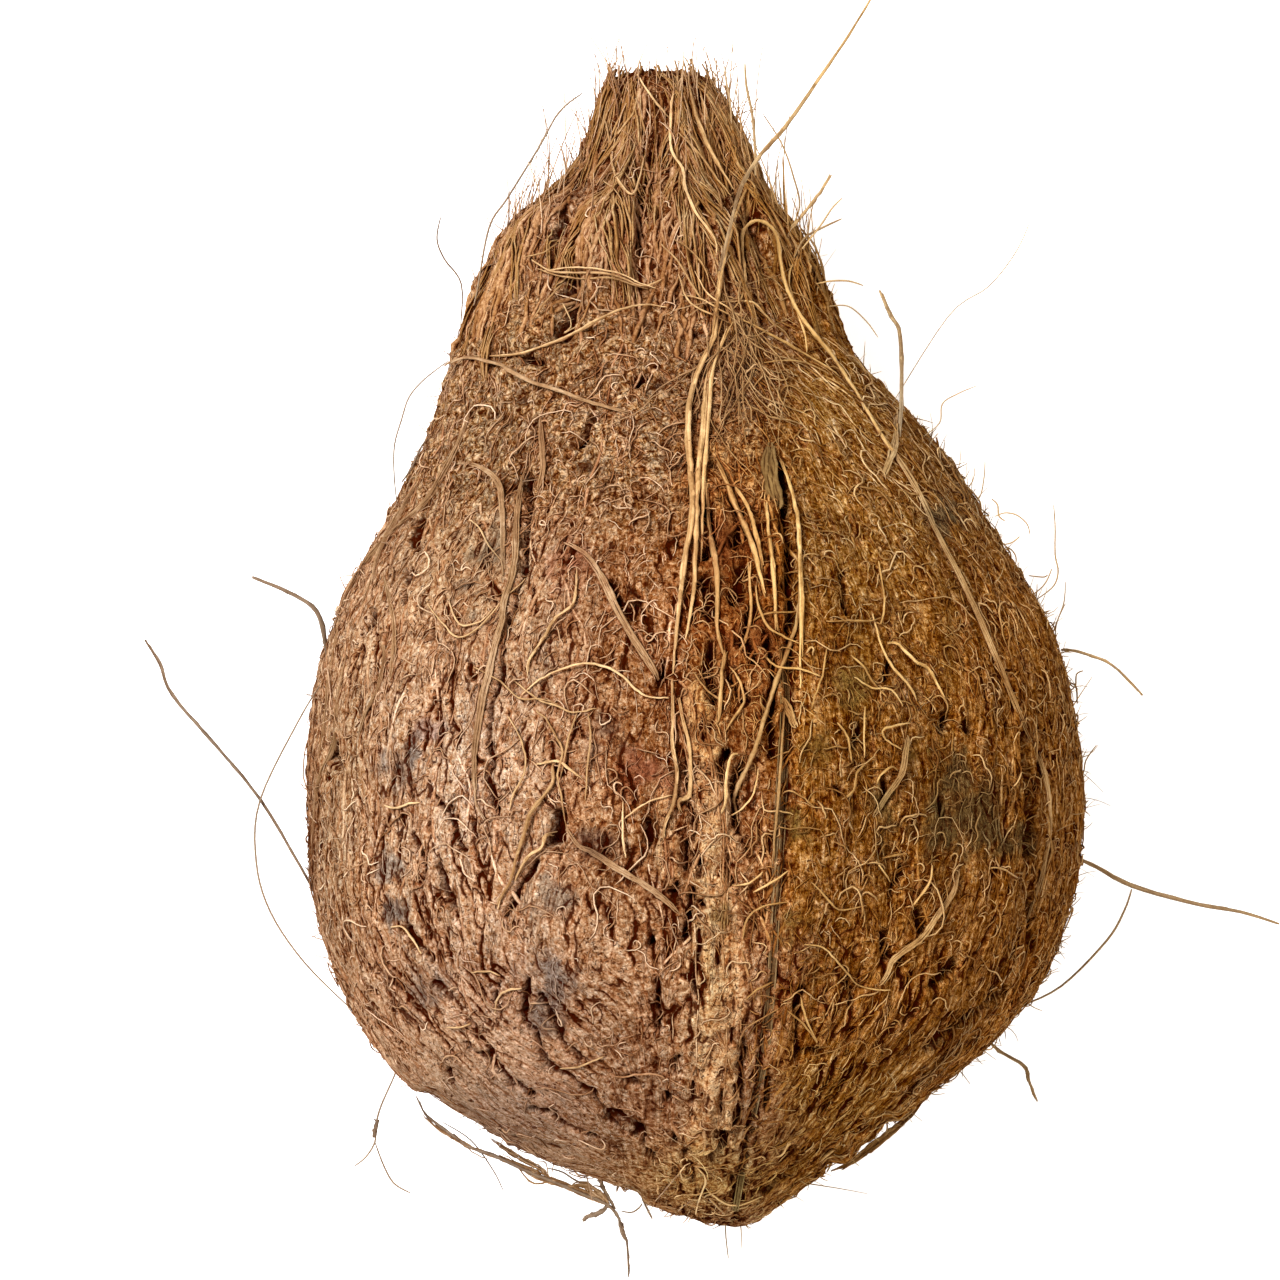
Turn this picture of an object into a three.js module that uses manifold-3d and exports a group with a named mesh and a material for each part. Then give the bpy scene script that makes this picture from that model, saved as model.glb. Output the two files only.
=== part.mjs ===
// A semi-husked coconut, lying on its side as a loose one does: a pear-shaped nut in its coat of husk, drawn out
// into a tuft of fibre at the stem end, and four long fibres that have come loose and stand clear of it.
// Millimetres. The origin is on the small flat that the nut rests on, straight below its centre of mass, +Z is up
// and the tuft points along +Y. A ridge of the nut lies on top, so it rests on the flatter side between the others.
import * as THREE from "three";
import { mergeVertices } from "three/addons/utils/BufferGeometryUtils.js";
import Module from "manifold-3d";

const wasm = await Module();
wasm.setup();

// Driving dimensions.
const NUT_WIDTH = 105; // across the nut at its fullest
const DEPTH_RATIO = 0.955; // how deep a section of the nut is for its width
const AXIS_TILT = 5.2; // degrees that the tuft dips below level
const REST_DEPTH = 1.3; // how far the husk under the nut is pressed flat
const TUFT_START = 44; // along the axis, where the coat begins to gather into the tuft
const TUFT_LENGTH = 24; // over which the flutes of the tuft grow to their full depth

// The coat's outline seen from above, in hundredths of the nut's width: how far along the axis from the origin,
// then its left and right edges. From the blunt point at the base to the cut end of the tuft.
const OUTLINE = [
  [-61.6, 4.4, 4.4],
  [-60.3, -0.8, 8.7],
  [-58.4, -7.0, 11.4],
  [-54.5, -17.0, 16.9],
  [-50.6, -26.2, 23.6],
  [-42.9, -37.3, 32.5],
  [-35.1, -43.3, 40.7],
  [-27.4, -47.4, 45.8],
  [-17.0, -49.8, 49.2],
  [-4.0, -49.7, 50.4],
  [8.9, -48.2, 49.1],
  [19.3, -45.3, 44.9],
  [32.3, -38.4, 36.8],
  [42.6, -33.9, 28.8],
  [50.3, -31.8, 21.4],
  [58.1, -29.4, 18.1],
  [65.9, -24.8, 14.9],
  [73.6, -17.5, 9.4],
  [81.5, -12.6, 5.6],
  [87.3, -10.7, 2.7],
  [88.6, -4.1, -4.1],
].map((row) => row.map((share) => (share * NUT_WIDTH) / 100));

// The nut's three ridges, the seams of its shell. Angles around the axis count from straight up towards +X.
const TOP_RIDGE = THREE.MathUtils.degToRad(13);
const RIDGES = [0, 1, 2].map((i) => TOP_RIDGE + (i * 2 * Math.PI) / 3);
const LOBE_RISE = 0.028; // how far the section swells towards each ridge, as a share of its radius
const CREST_RISE = 0.024; // the narrow crest on each ridge
const CREST_WIDTH = THREE.MathUtils.degToRad(9);

// The tuft's flutes, where its fibres lie in bundles.
const FLUTES = 9;
const FLUTE_DEPTH = 0.075;

// How finely the coat is faceted.
const AROUND = 64;
const ALONG = 58;

const HUSK = new THREE.MeshStandardMaterial({ color: 0x8a6236, roughness: 0.95, metalness: 0 });
const FIBRE = new THREE.MeshStandardMaterial({ color: 0xa98556, roughness: 0.85, metalness: 0 });

const outlineCurve = new THREE.CatmullRomCurve3(
  OUTLINE.map(([along, left, right]) => new THREE.Vector3(left, along, right)),
);

// How far a section of the coat reaches from its axis at an angle, as a share of its mean radius.
function sectionReach(angle, along) {
  const gathered = THREE.MathUtils.smoothstep(along, TUFT_START, TUFT_START + TUFT_LENGTH);
  const lobes = LOBE_RISE * Math.cos(3 * (angle - TOP_RIDGE));
  const crests = RIDGES.map((ridge) => {
    const off = Math.atan2(Math.sin(angle - ridge), Math.cos(angle - ridge));
    return CREST_RISE * Math.exp(-((off / CREST_WIDTH) ** 2));
  }).reduce((sum, crest) => sum + crest);
  const flutes = FLUTE_DEPTH * Math.cos(FLUTES * angle + 0.05 * along);
  return 1 + (1 - gathered) * (lobes + crests) + gathered * flutes;
}

// A point of the coat: share runs from 0 at the base to 1 at the cut end of the tuft.
function coatPoint(share, angle) {
  const { x: left, y: along, z: right } = outlineCurve.getPoint(share);
  const reaches = Array.from({ length: AROUND }, (_, i) => {
    const a = (i * 2 * Math.PI) / AROUND;
    return sectionReach(a, along) * Math.sin(a);
  });
  const least = Math.min(...reaches);
  const most = Math.max(...reaches);
  const reach = sectionReach(angle, along);
  const across = (reach * Math.sin(angle) - least) / (most - least);
  const halfDepth = ((right - left) / 2) * DEPTH_RATIO;
  const axisHeight = -along * Math.tan(THREE.MathUtils.degToRad(AXIS_TILT));
  return new THREE.Vector3(
    left + across * (right - left),
    along,
    axisHeight + halfDepth * reach * Math.cos(angle),
  );
}

// A closed geometry as a manifold solid, and back.
function toSolid(geometry) {
  const bare = geometry.clone();
  bare.deleteAttribute("normal");
  bare.deleteAttribute("uv");
  const merged = mergeVertices(bare, 1e-4);
  return new wasm.Manifold(
    new wasm.Mesh({
      numProp: 3,
      vertProperties: merged.attributes.position.array,
      triVerts: new Uint32Array(merged.index.array),
    }),
  );
}

function toGeometry(solid) {
  const mesh = solid.getMesh();
  const geometry = new THREE.BufferGeometry();
  geometry.setAttribute("position", new THREE.BufferAttribute(mesh.vertProperties, 3));
  geometry.setIndex(new THREE.BufferAttribute(mesh.triVerts, 1));
  geometry.computeVertexNormals();
  return geometry;
}

// The coat is a sphere drawn out to the outline, so that both of its poles are closed.
function coatGeometry() {
  const geometry = new THREE.SphereGeometry(1, AROUND, ALONG);
  const position = geometry.getAttribute("position");
  const unit = new THREE.Vector3();
  for (let i = 0; i < position.count; i++) {
    unit.fromBufferAttribute(position, i);
    const share = 1 - Math.acos(THREE.MathUtils.clamp(unit.y, -1, 1)) / Math.PI;
    const point = coatPoint(share, Math.atan2(unit.x, unit.z));
    position.setXYZ(i, point.x, point.y, point.z);
  }
  geometry.computeBoundingBox();
  return geometry;
}

const coat = coatGeometry();
const lift = -coat.boundingBox.min.z - REST_DEPTH; // raises the nut until its lowest REST_DEPTH is below the floor
coat.translate(0, 0, lift);

const belowFloor = new THREE.BoxGeometry(2 * NUT_WIDTH, 3 * NUT_WIDTH, NUT_WIDTH);
belowFloor.translate(0, 0, -NUT_WIDTH / 2);

const part = new THREE.Group();
const coconut = new THREE.Mesh(toGeometry(toSolid(coat).subtract(toSolid(belowFloor))), HUSK);
coconut.name = "coconut";
part.add(coconut);

// The long loose fibres. Each is rooted just clear of the coat at a share of its length and an angle around it, and
// its route goes on from there, in the object's own frame.
const FIBRE_SIDES = 8;
const ROOT_GAP = 0.5; // between the coat's facets and the fibre's side

function looseFibre(name, radius, [share, degrees], route) {
  const angle = THREE.MathUtils.degToRad(degrees);
  const root = coatPoint(share, angle).add(new THREE.Vector3(0, 0, lift));
  const outward = new THREE.Vector3(Math.sin(angle), 0, Math.cos(angle));
  root.addScaledVector(outward, radius + ROOT_GAP);
  const path = new THREE.CatmullRomCurve3([root, ...route.map((point) => new THREE.Vector3(...point))]);
  const section = new THREE.Shape().absarc(0, 0, radius, 0, 2 * Math.PI);
  const geometry = new THREE.ExtrudeGeometry(section, {
    steps: 6 * route.length,
    curveSegments: FIBRE_SIDES / 2,
    bevelEnabled: false,
    extrudePath: path,
  });
  const fibre = new THREE.Mesh(geometry, FIBRE);
  fibre.name = name;
  part.add(fibre);
}

looseFibre("top_loose_fibre", 0.4, [0.83, 42], [
  [12, 81.5, 62],
  [16, 88, 65],
  [20.5, 94.5, 67],
  [24.9, 101.7, 68],
]);
looseFibre("left_loose_fibre", 0.35, [0.4, -90], [
  [-58.5, -7.1, 50],
  [-64.6, 0.5, 51],
  [-70.3, 7.2, 52],
  [-74, 14.7, 52],
]);
looseFibre("right_loose_fibre", 0.45, [0.41, 90], [
  [59.6, -18.7, 50],
  [68.4, -21.1, 51],
  [74.2, -22.1, 52],
  [79.3, -23.7, 52],
]);
looseFibre("base_loose_fibre", 0.4, [0.222, -90], [
  [-26.1, -57.2, 52],
  [-12.5, -64.3, 52],
  [-9.3, -67.5, 51],
  [-8.7, -71.7, 50],
]);

export default part;
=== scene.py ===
# A semi-husked coconut lying on its side: the fibrous coat over its shell, the seam along the top ridge, the
# mat of coir, the tuft at the stem end and the long fibres that have come loose. Metres, as the frame is.
import math

import bmesh
import bpy
import numpy as np
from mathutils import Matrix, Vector, noise
from mathutils.bvhtree import BVHTree


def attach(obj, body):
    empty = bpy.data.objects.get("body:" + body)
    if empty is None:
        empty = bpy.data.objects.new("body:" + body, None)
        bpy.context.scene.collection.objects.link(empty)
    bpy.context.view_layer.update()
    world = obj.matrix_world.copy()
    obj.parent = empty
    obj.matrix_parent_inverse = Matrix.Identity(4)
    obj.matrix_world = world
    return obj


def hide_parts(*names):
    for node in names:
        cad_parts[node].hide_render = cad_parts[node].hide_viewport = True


MM = 0.001
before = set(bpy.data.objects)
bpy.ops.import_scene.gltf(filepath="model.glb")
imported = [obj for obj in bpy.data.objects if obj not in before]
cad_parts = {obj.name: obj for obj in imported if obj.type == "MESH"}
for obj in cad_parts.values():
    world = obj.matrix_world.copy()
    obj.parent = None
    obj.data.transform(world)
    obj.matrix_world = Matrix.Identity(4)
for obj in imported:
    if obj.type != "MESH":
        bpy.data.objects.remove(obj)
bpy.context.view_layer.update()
scene = bpy.context.scene


# ----------------------------------------------------------------------------------------------------
# The husk coat. Dry, crumbly husk clings to the shell in wavy lengthwise ridges with dark fissures between.
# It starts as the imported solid, remeshed finely, and its surface is then pushed in and out along its normals.
COAT_VOXEL = 0.585 * MM
COAT_SMOOTHING = 60  # passes, which round off the solid's facets
NUT_RADIUS = 50.0  # mm, the girth that the grain is laid out on
GRAIN_STRETCH = 0.11  # how much shorter the grain's features would be along the nut if they weren't drawn out


def link(thing):
    scene.collection.objects.link(thing)
    return thing


def settle(thing):
    """Applies a piece's modifiers, or turns a curve into a mesh."""
    shown = thing.evaluated_get(bpy.context.evaluated_depsgraph_get())
    mesh = bpy.data.meshes.new_from_object(shown)
    settled = link(bpy.data.objects.new(thing.name + "_mesh", mesh))
    name = thing.name
    bpy.data.objects.remove(thing)
    settled.name = name
    mesh.name = name
    return settled


def merged_copy(node, name):
    """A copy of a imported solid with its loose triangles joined."""
    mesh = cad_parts[node].data.copy()
    mesh.materials.clear()
    bm = bmesh.new()
    bm.from_mesh(mesh)
    bmesh.ops.remove_doubles(bm, verts=bm.verts, dist=0.001 * MM)
    bm.to_mesh(mesh)
    bm.free()
    return link(bpy.data.objects.new(name, mesh))


def vertex_array(mesh, what, width=3):
    values = np.empty(len(mesh.vertices) * width, np.float32)
    mesh.vertices.foreach_get(what, values)
    return values.reshape(-1, width).astype(float)


coat = merged_copy("coconut", "coat_blank")
remesh = coat.modifiers.new("fine", "REMESH")
remesh.mode = "VOXEL"
remesh.voxel_size = COAT_VOXEL
remesh.use_smooth_shade = True
smooth = coat.modifiers.new("round", "SMOOTH")
smooth.factor = 0.5
smooth.iterations = COAT_SMOOTHING
coat = settle(coat)

coat_points = vertex_array(coat.data, "co") / MM
coat_normals = vertex_array(coat.data, "normal")

# The nut's axis, from the middles of its slices.
slices = np.arange(-62.0, 92.0, 4.0)
axis_x = []
axis_z = []
for low in slices:
    ring = coat_points[(coat_points[:, 1] >= low) & (coat_points[:, 1] < low + 4)]
    axis_x.append((ring[:, 0].min() + ring[:, 0].max()) / 2)
    axis_z.append((ring[:, 2].min() + ring[:, 2].max()) / 2)


def around(points):
    """The angle of points around the nut's axis, from straight up towards +X."""
    x = points[:, 0] - np.interp(points[:, 1], slices + 2, axis_x)
    z = points[:, 2] - np.interp(points[:, 1], slices + 2, axis_z)
    return np.arctan2(x, z)


def wobble(points, size, seed=0):
    """Smooth noise from -1 to 1, with features about size millimetres across."""
    shifted = points / size + 31.7 * seed
    return np.array([noise.noise(p) for p in shifted.tolist()]) * 1.4


def ramp(low, high, values):
    """0 below low, 1 above high, eased between."""
    share = np.clip((values - low) / (high - low), 0, 1)
    return share * share * (3 - 2 * share)


def band(start, full, waning, end, values):
    """1 from full to waning, eased to 0 at start and end."""
    return ramp(start, full, values) * (1 - ramp(waning, end, values))


def sway_of(points, size, seeds):
    """Smooth noise across the nut in X and Y, none in Z."""
    across, along = (wobble(points, size, seed) for seed in seeds)
    return np.stack([across, along, np.zeros(len(points))], axis=1)


coat_edges = np.empty(len(coat.data.edges) * 2, np.int32)
coat.data.edges.foreach_get("vertices", coat_edges)
coat_edges = coat_edges.reshape(-1, 2)
edge_lengths = np.linalg.norm(coat_points[coat_edges[:, 0]] - coat_points[coat_edges[:, 1]], axis=1)


LEAST_SLOPE = 0.08  # a gentler slope counts as this one


def crossing_reach(values):
    """How far each point of the coat is from where its values cross zero, in millimetres, with a sign."""
    slope = np.zeros(len(values))
    rise = np.abs(values[coat_edges[:, 0]] - values[coat_edges[:, 1]]) / edge_lengths
    np.maximum.at(slope, coat_edges[:, 0], rise)
    np.maximum.at(slope, coat_edges[:, 1], rise)
    return values / np.maximum(slope, LEAST_SLOPE)


# Where things lie on the nut is given as it looks from an eye over it, on a level sheet through its middle.
EYE = (-7.07, 14.66, 648.0)
SHEET = 48.0


def on_sheet(points):
    """Points in millimetres, drawn onto the level sheet as the eye sees them."""
    grow = (EYE[2] - SHEET) / (EYE[2] - points[:, 2])
    return np.stack([EYE[i] + (points[:, i] - EYE[i]) * grow for i in (0, 1)], axis=1)


angle = around(coat_points)
along = coat_points[:, 1]
plan = on_sheet(coat_points)
leaning = angle + 0.028 * np.minimum(plan[:, 1] + 30, 0) * (1 - ramp(-12, -2, plan[:, 0]))
grain = np.stack([NUT_RADIUS * np.sin(leaning), NUT_RADIUS * np.cos(leaning), along * GRAIN_STRETCH], axis=1)
wavy_grain = grain + 1.8 * sway_of(coat_points, 13, (1, 2))

# Where each kind of surface lies, seen from above: bark-like left of the seam, crumbs on the shoulder, fine
# mat right of the seam.
side = ramp(8, 16, plan[:, 0])
tuft = ramp(54, 66, along)
shoulder = ramp(26, 38, plan[:, 1]) * (1 - tuft) * (1 - side)

base_left = (1 - ramp(-44, -34, plan[:, 1])) * (1 - ramp(-8, 0, plan[:, 0]))
low_right = (1 - ramp(-34, -22, plan[:, 1])) * ramp(11, 16, plan[:, 0])
right_rim = ramp(37, 43, plan[:, 0])
beside_seam = band(-1, 2, 12, 14, plan[:, 0]) * band(-2, 6, 34, 42, plan[:, 1])

lumps = 0.7 * wobble(coat_points, 20, 3) + (0.32 - 0.10 * side) * wobble(coat_points, 8, 4)
strands = wobble(wavy_grain, 1.5, 5) * (0.15 + 0.44 * tuft + 0.30 * low_right + 0.25 * right_rim)
bark_grain = wavy_grain * (1, 1, 2.1) + 0.55 * sway_of(coat_points, 2.6, (17, 18))
crease = crossing_reach(wobble(bark_grain, 3.4, 6))
fine_crease = crossing_reach(wobble(bark_grain, 1.7, 8))
fine_mat = side * ramp(-34, -20, plan[:, 1]) * (1 - right_rim)
low_left = (1 - ramp(2, 20, plan[:, 1])) * (1 - ramp(-30, -18, plan[:, 0]))
creases_gather = 0.22 * low_left + 0.3 * low_right + 0.3 * right_rim
creased = ramp(-0.2, 0.35, wobble(coat_points, 5, 7) - 0.15 + creases_gather)
creased *= (1 - 0.65 * shoulder) * (1 - 0.55 * fine_mat) * (1 - 0.6 * base_left)
finely_creased = ramp(-0.3, 0.3, wobble(coat_points, 3.2, 9) - 0.1 + 0.2 * low_left)
finely_creased *= (1 - 0.5 * shoulder) * (1 - 0.4 * fine_mat) * (1 - 0.6 * base_left)
crumbs = wobble(coat_points, 1.0, 10) * (0.18 + 0.08 * shoulder) * (1 - 0.5 * base_left)
clumps = wobble(coat_points, 2.5, 25) * 0.75 * shoulder + wobble(coat_points, 1.7, 27) * 0.8 * beside_seam
bundles = wobble(wavy_grain, 2.8, 11) * tuft * (1 - 0.7 * ramp(82, 89, along))
bulge = 1.4 * np.exp(-(((along - 71) / 4) ** 2)) * ramp(0.2, 0.8, -np.sin(angle))

# Clefts, pits and grooves seen from above: half width, depth, then where each runs, in millimetres.
CLEFTS = [
    (0.55, 3.0, [(12.6, 38), (12.9, 30), (13.2, 16)]),
    (0.9, 1.8, [(12.2, 39), (13.3, 25), (13.3, 6), (13.1, 0)]),
    (0.5, 1.0, [(13.1, 0), (12.5, -14), (10.6, -34), (7.9, -51), (5.8, -64)]),
    (1.7, 4.5, [(-16.8, 64), (-16.9, 60), (-17.6, 57)]),
    (0.7, 2.6, [(-16.6, 72.5), (-18.2, 69.5)]),
    (0.7, 2.4, [(-7.1, 77.5), (-7.2, 72), (-6.9, 68)]),
    (0.6, 2.0, [(-11.6, 77.5), (-11.6, 72.5)]),
    (0.5, 1.8, [(-15.2, 71), (-15.4, 65.5)]),
    (0.5, 1.8, [(-4.6, 74), (-4.4, 71)]),
    (0.6, 3.0, [(-1.3, 81.6), (-1.4, 80.4)]),
    (0.55, 2.4, [(-22.4, 37), (-22.8, 28), (-23.4, 24), (-25.3, 17)]),
    (0.42, 2.0, [(-25.3, 17), (-26.4, 10), (-27.7, 5), (-27.9, 0)]),
    (0.4, 1.4, [(-27.9, 0), (-26.8, -1.6), (-27.8, -4), (-26.8, -9)]),
    (1.2, 3.2, [(-18.7, -9.5), (-19.0, -12.2)]),
    (0.5, 1.6, [(-21.4, -15.5), (-23.8, -19.2), (-25.6, -22.6)]),
    (0.55, 1.7, [(-22.4, -32), (-22.9, -34.4), (-22.6, -37), (-21.4, -39), (-20.8, -41.4), (-19.2, -43.4)]),
    (0.45, 1.4, [(-19.2, -43.4), (-16.4, -45), (-13.4, -47.4), (-12, -49.6), (-8, -51)]),
    (0.55, 1.6, [(-20.4, -33.6), (-19.6, -36), (-18, -38.4), (-17.6, -40), (-15.4, -42.6)]),
    (0.5, 1.5, [(-22, -49.2), (-19, -50.2), (-17, -51.8), (-13.4, -53)]),
    (0.4, 1.4, [(-30.6, -37), (-28, -41), (-25, -45), (-22, -47.6)]),
    (0.5, 1.5, [(-11.6, -50.4), (-9, -52.4), (-7.2, -52.6)]),
    (0.3, 1.2, [(-30.8, -40), (-28.4, -41.8), (-26.6, -43.6), (-24.8, -46.2)]),
    (0.35, 1.2, [(-33, -43.6), (-32, -45.4)]),
    (0.3, 1.2, [(-26.4, -31.4), (-27, -33.6), (-26.3, -35.8)]),
    (0.28, 1.2, [(-35.6, -5.4), (-34.2, -7.8), (-33, -9.4), (-32.6, -12.4), (-31.4, -14.2)]),
    (0.25, 1.0, [(-30.4, -3.6), (-30.4, -7.4)]),
    (0.25, 1.0, [(-33.2, -7.4), (-32.7, -10.4), (-32.2, -12.6)]),
    (0.25, 1.0, [(-29.6, -10.2), (-29.2, -13)]),
    (0.5, 1.6, [(19.4, -5.4), (20.2, -6.4)]),
    (0.5, 1.6, [(26.6, -4), (26.2, -7.4)]),
    (0.45, 1.4, [(23.2, 3), (22.6, 0.4)]),
    (0.45, 1.4, [(27.4, 12.4), (26.8, 9.4)]),
    (0.4, 1.4, [(20.6, 24), (21.4, 19)]),
    (0.4, 1.4, [(33.4, -5), (34, -9)]),
    (0.4, 1.4, [(21, -31), (22, -35)]),
    (0.4, 1.4, [(28.4, -16), (27.4, -20)]),
    (0.7, 2.4, [(-3.4, -47), (-3.4, -47.8)]),
    (0.7, 2.0, [(-8.8, -45.2), (-7.9, -45.4)]),
    (0.6, 2.0, [(-10.4, -49.6), (-7.2, -51.4), (-6.6, -53.6)]),
    (0.65, 2.4, [(3.4, -51.4), (4.8, -52.4), (4.2, -54), (2.2, -55.8)]),
    (0.6, 1.8, [(-34.8, -16), (-34.4, -19), (-33.4, -21.6)]),
    (0.4, 1.5, [(-37.6, -12.5), (-36.8, -15), (-37, -19.8)]),
    (0.5, 1.5, [(-39, -24.6), (-37.6, -27.4), (-36, -28.6)]),
    (0.6, 1.5, [(-35.4, -32), (-33.2, -34.2)]),
    (0.8, 2.6, [(-49.4, 0.4), (-49, -2.6)]),
    (0.5, 1.8, [(-48.8, -14), (-48.6, -16.2)]),
    (0.6, 2.6, [(4.5, -0.4), (4.0, -2.6), (4.1, -4.6)]),
    (0.5, 2.8, [(6.6, -2), (5.8, -5), (5.3, -7.4), (5.6, -9.4), (5.8, -11.2)]),
    (0.3, 1.3, [(5.9, -11), (6.8, -12.8), (7.3, -13.8)]),
    (0.4, 2.2, [(5.0, -14), (5.0, -16), (5.2, -18.4)]),
    (0.35, 1.8, [(-0.6, -7.4), (0.5, -9.6), (0.2, -12), (0.1, -14), (0.6, -16)]),
    (0.4, 2.2, [(-1.2, -12.6), (-1.2, -15), (-0.9, -17)]),
    (0.4, 2.0, [(1.4, -15.2), (1.2, -16.6), (0.9, -17.6)]),
    (0.5, 2.6, [(0.4, -19.4), (-0.3, -21), (-0.9, -23), (-1.2, -26)]),
    (0.45, 2.0, [(1.0, -21.2), (1.4, -21.6)]),
    (0.45, 2.2, [(-2.6, -18.4), (-2.6, -20.2), (-3.4, -20)]),
    (0.4, 1.8, [(-0.9, -1.6), (-0.7, -4), (-1, -5.8)]),
    (0.7, 2.0, [(-6.4, -10), (-6, -12.4)]),
    (0.5, 1.5, [(0.6, -24.5), (0.9, -27), (0.7, -29.6), (0.3, -31.6), (0.6, -33.8)]),
    (0.5, 1.6, [(3.6, -27), (3.8, -29)]),
    (0.35, 1.6, [(5.3, -38), (5.2, -40)]),
    (0.5, 2.0, [(6.8, -40), (6.6, -44), (6.2, -48), (5.2, -51)]),
    (0.25, 0.9, [(3.8, -45.6), (3.9, -48), (4.2, -49.4)]),
    (0.25, 0.9, [(0.6, -43), (0.2, -46), (0.1, -49)]),
    (0.4, 1.8, [(-1.9, -42), (-2, -44)]),
    (0.5, 2.2, [(-4.9, -31.6), (-4.8, -34), (-4.6, -36.6), (-4.4, -38.6)]),
    (0.6, 2.4, [(-5.8, -26.6), (-5.7, -27)]),
    (0.4, 1.6, [(-3.6, -27.6), (-3.4, -29.6)]),
    (0.35, 1.8, [(-0.8, -53.2), (-0.6, -54.2), (-1, -55.4)]),
    (0.35, 1.5, [(-2.2, -52.4), (-2.4, -53.4)]),
    (0.4, 1.6, [(-6.4, -54.8), (-5, -56.2)]),
    (0.4, 1.6, [(-0.1, -58), (0.1, -58.6)]),
    (0.45, 2.0, [(5.6, -58.6), (5.6, -61)]),
    (0.45, 1.6, [(8, -61), (10, -60.2), (12.4, -59)]),
    (0.45, 2.0, [(10, -44), (10.2, -49)]),
    (0.3, 1.2, [(10.9, -12), (10.8, -16), (10.3, -20), (10.1, -24)]),
    (0.8, 2.2, [(2.0, 34), (2.8, 29.4), (1.7, 26)]),
    (1.1, 1.8, [(1.6, 22.4), (2.6, 18.4)]),
    (0.7, 2.2, [(2.8, 14), (1.8, 10.6), (3.0, 6.4)]),
    (0.8, 2.0, [(5.6, 35), (6.9, 31), (5.7, 27.6)]),
    (1.2, 2.2, [(6.9, 24), (5.9, 20.6)]),
    (0.8, 2.0, [(8.4, 19), (7.0, 15.4), (8.2, 12)]),
    (0.7, 1.8, [(5.6, 9.6), (7.4, 6.6)]),
    (0.6, 2.0, [(9.8, 15.4), (11.3, 10), (10.6, 4), (11, -1)]),
    (0.5, 1.8, [(-3.6, 12), (-4.6, 8.4)]),
    (0.8, 1.9, [(45.2, 1.4), (46, -5), (46.6, -10), (46.4, -14.2)]),
    (0.5, 1.5, [(46.7, -20), (46.3, -26.4)]),
    (0.8, 1.9, [(34.4, 4.2), (34.3, 2.8)]),
    (0.7, 1.6, [(37.3, 3.3), (37.6, 2.3)]),
    (0.7, 1.8, [(31, -22.6), (31.3, -25)]),
    (0.7, 1.8, [(26, -25.2), (26.7, -28.6)]),
    (0.5, 1.7, [(15, -33), (14.2, -38), (14.4, -42)]),
    (0.5, 1.8, [(14.6, -41.2), (17.4, -41.4)]),
    (0.6, 1.6, [(35.4, -29), (33, -32)]),
    (0.6, 1.5, [(42.4, -33), (36.8, -37), (31.6, -40.6)]),
    (0.5, 1.6, [(5.8, -45), (6.4, -48.8), (4.8, -51)]),
    (0.7, 2.2, [(-15.4, 41.4), (-13, 44.8)]),
    (0.3, 0.9, [(-19.2, 40.4), (-19.6, 37.6)]),
    (0.8, 2.4, [(-7.8, 49.2), (-6.4, 50.2)]),
    (0.3, 1.2, [(-41.3, 27.2), (-41, 25.2)]),
    (0.7, 1.3, [(-37, 30.6), (-38, 27.8)]),
    (0.4, 1.3, [(-38.8, 24.2), (-39.3, 20)]),
    (0.4, 1.6, [(-35.5, 17.2), (-35.8, 15.2)]),
    (0.35, 1.2, [(-37.8, -11.6), (-38.2, -14.2)]),
    (0.6, 1.7, [(-11.4, 22.4), (-8.4, 18), (-7.8, 20)]),
    (0.6, 2.0, [(-43.4, 18.2), (-44.6, 15.4)]),
    (0.7, 2.2, [(-20.6, 55), (-22.4, 53), (-20.6, 52.4)]),
]


def plan_distance(points, route):
    """How far points are, seen from above, from a route."""
    nearest = np.full(len(points), 1e9)
    for start, end in zip(route, route[1:]):
        start, end = np.array(start, float), np.array(end, float)
        run = end - start
        share = np.clip(((points[:, :2] - start) @ run) / (run @ run), 0, 1)
        gap = points[:, :2] - start - share[:, None] * run
        nearest = np.minimum(nearest, np.hypot(gap[:, 0], gap[:, 1]))
    return nearest


CLEFTS_FELT = 4.0  # half widths from a cleft's middle, beyond which the husk is as elsewhere
on_top = ramp(0.02, 0.2, coat_normals[:, 2])
ragged = plan + 0.45 * sway_of(coat_points, 2.2, (12, 13))[:, :2]
cleft = np.zeros(len(coat_points))
from_cleft = np.full(len(coat_points), CLEFTS_FELT)
for half_width, depth, route in CLEFTS:
    reach = plan_distance(ragged, route) / half_width
    cleft = np.maximum(cleft, depth * np.exp(-((reach / 0.9) ** 4)) * on_top)
    from_cleft = np.minimum(from_cleft, reach + CLEFTS_FELT * (1 - on_top))

# Broken slabs of paler husk stand along the left of the seam: half width, then where each runs.
SLABS = [
    (3.7, [(0.4, 7), (1.6, 0), (2.9, -8), (3.2, -18), (3.1, -24), (3.6, -34), (3.3, -45), (2.6, -52)]),
    (1.3, [(-3.9, -3.5), (-3.6, -10), (-3.2, -17.5)]),
]
slab = np.zeros(len(coat_points))
for half_width, route in SLABS:
    room = half_width * (1 - 0.5 * ramp(-6, 5, plan[:, 1])) + 0.5 * wobble(coat_points, 7, 16)
    reach = plan_distance(ragged, route) / (room + 0.35 * wobble(coat_points, 2.2, 26))
    slab = np.maximum(slab, np.exp(-(reach**6)) * on_top)
slab_grain = 0.7 * wobble(wavy_grain * (1, 1, 1.6), 2.2, 14) + 0.35 * wobble(coat_points, 1.3, 15)
slab_relief = slab * (1.2 + slab_grain)

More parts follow.
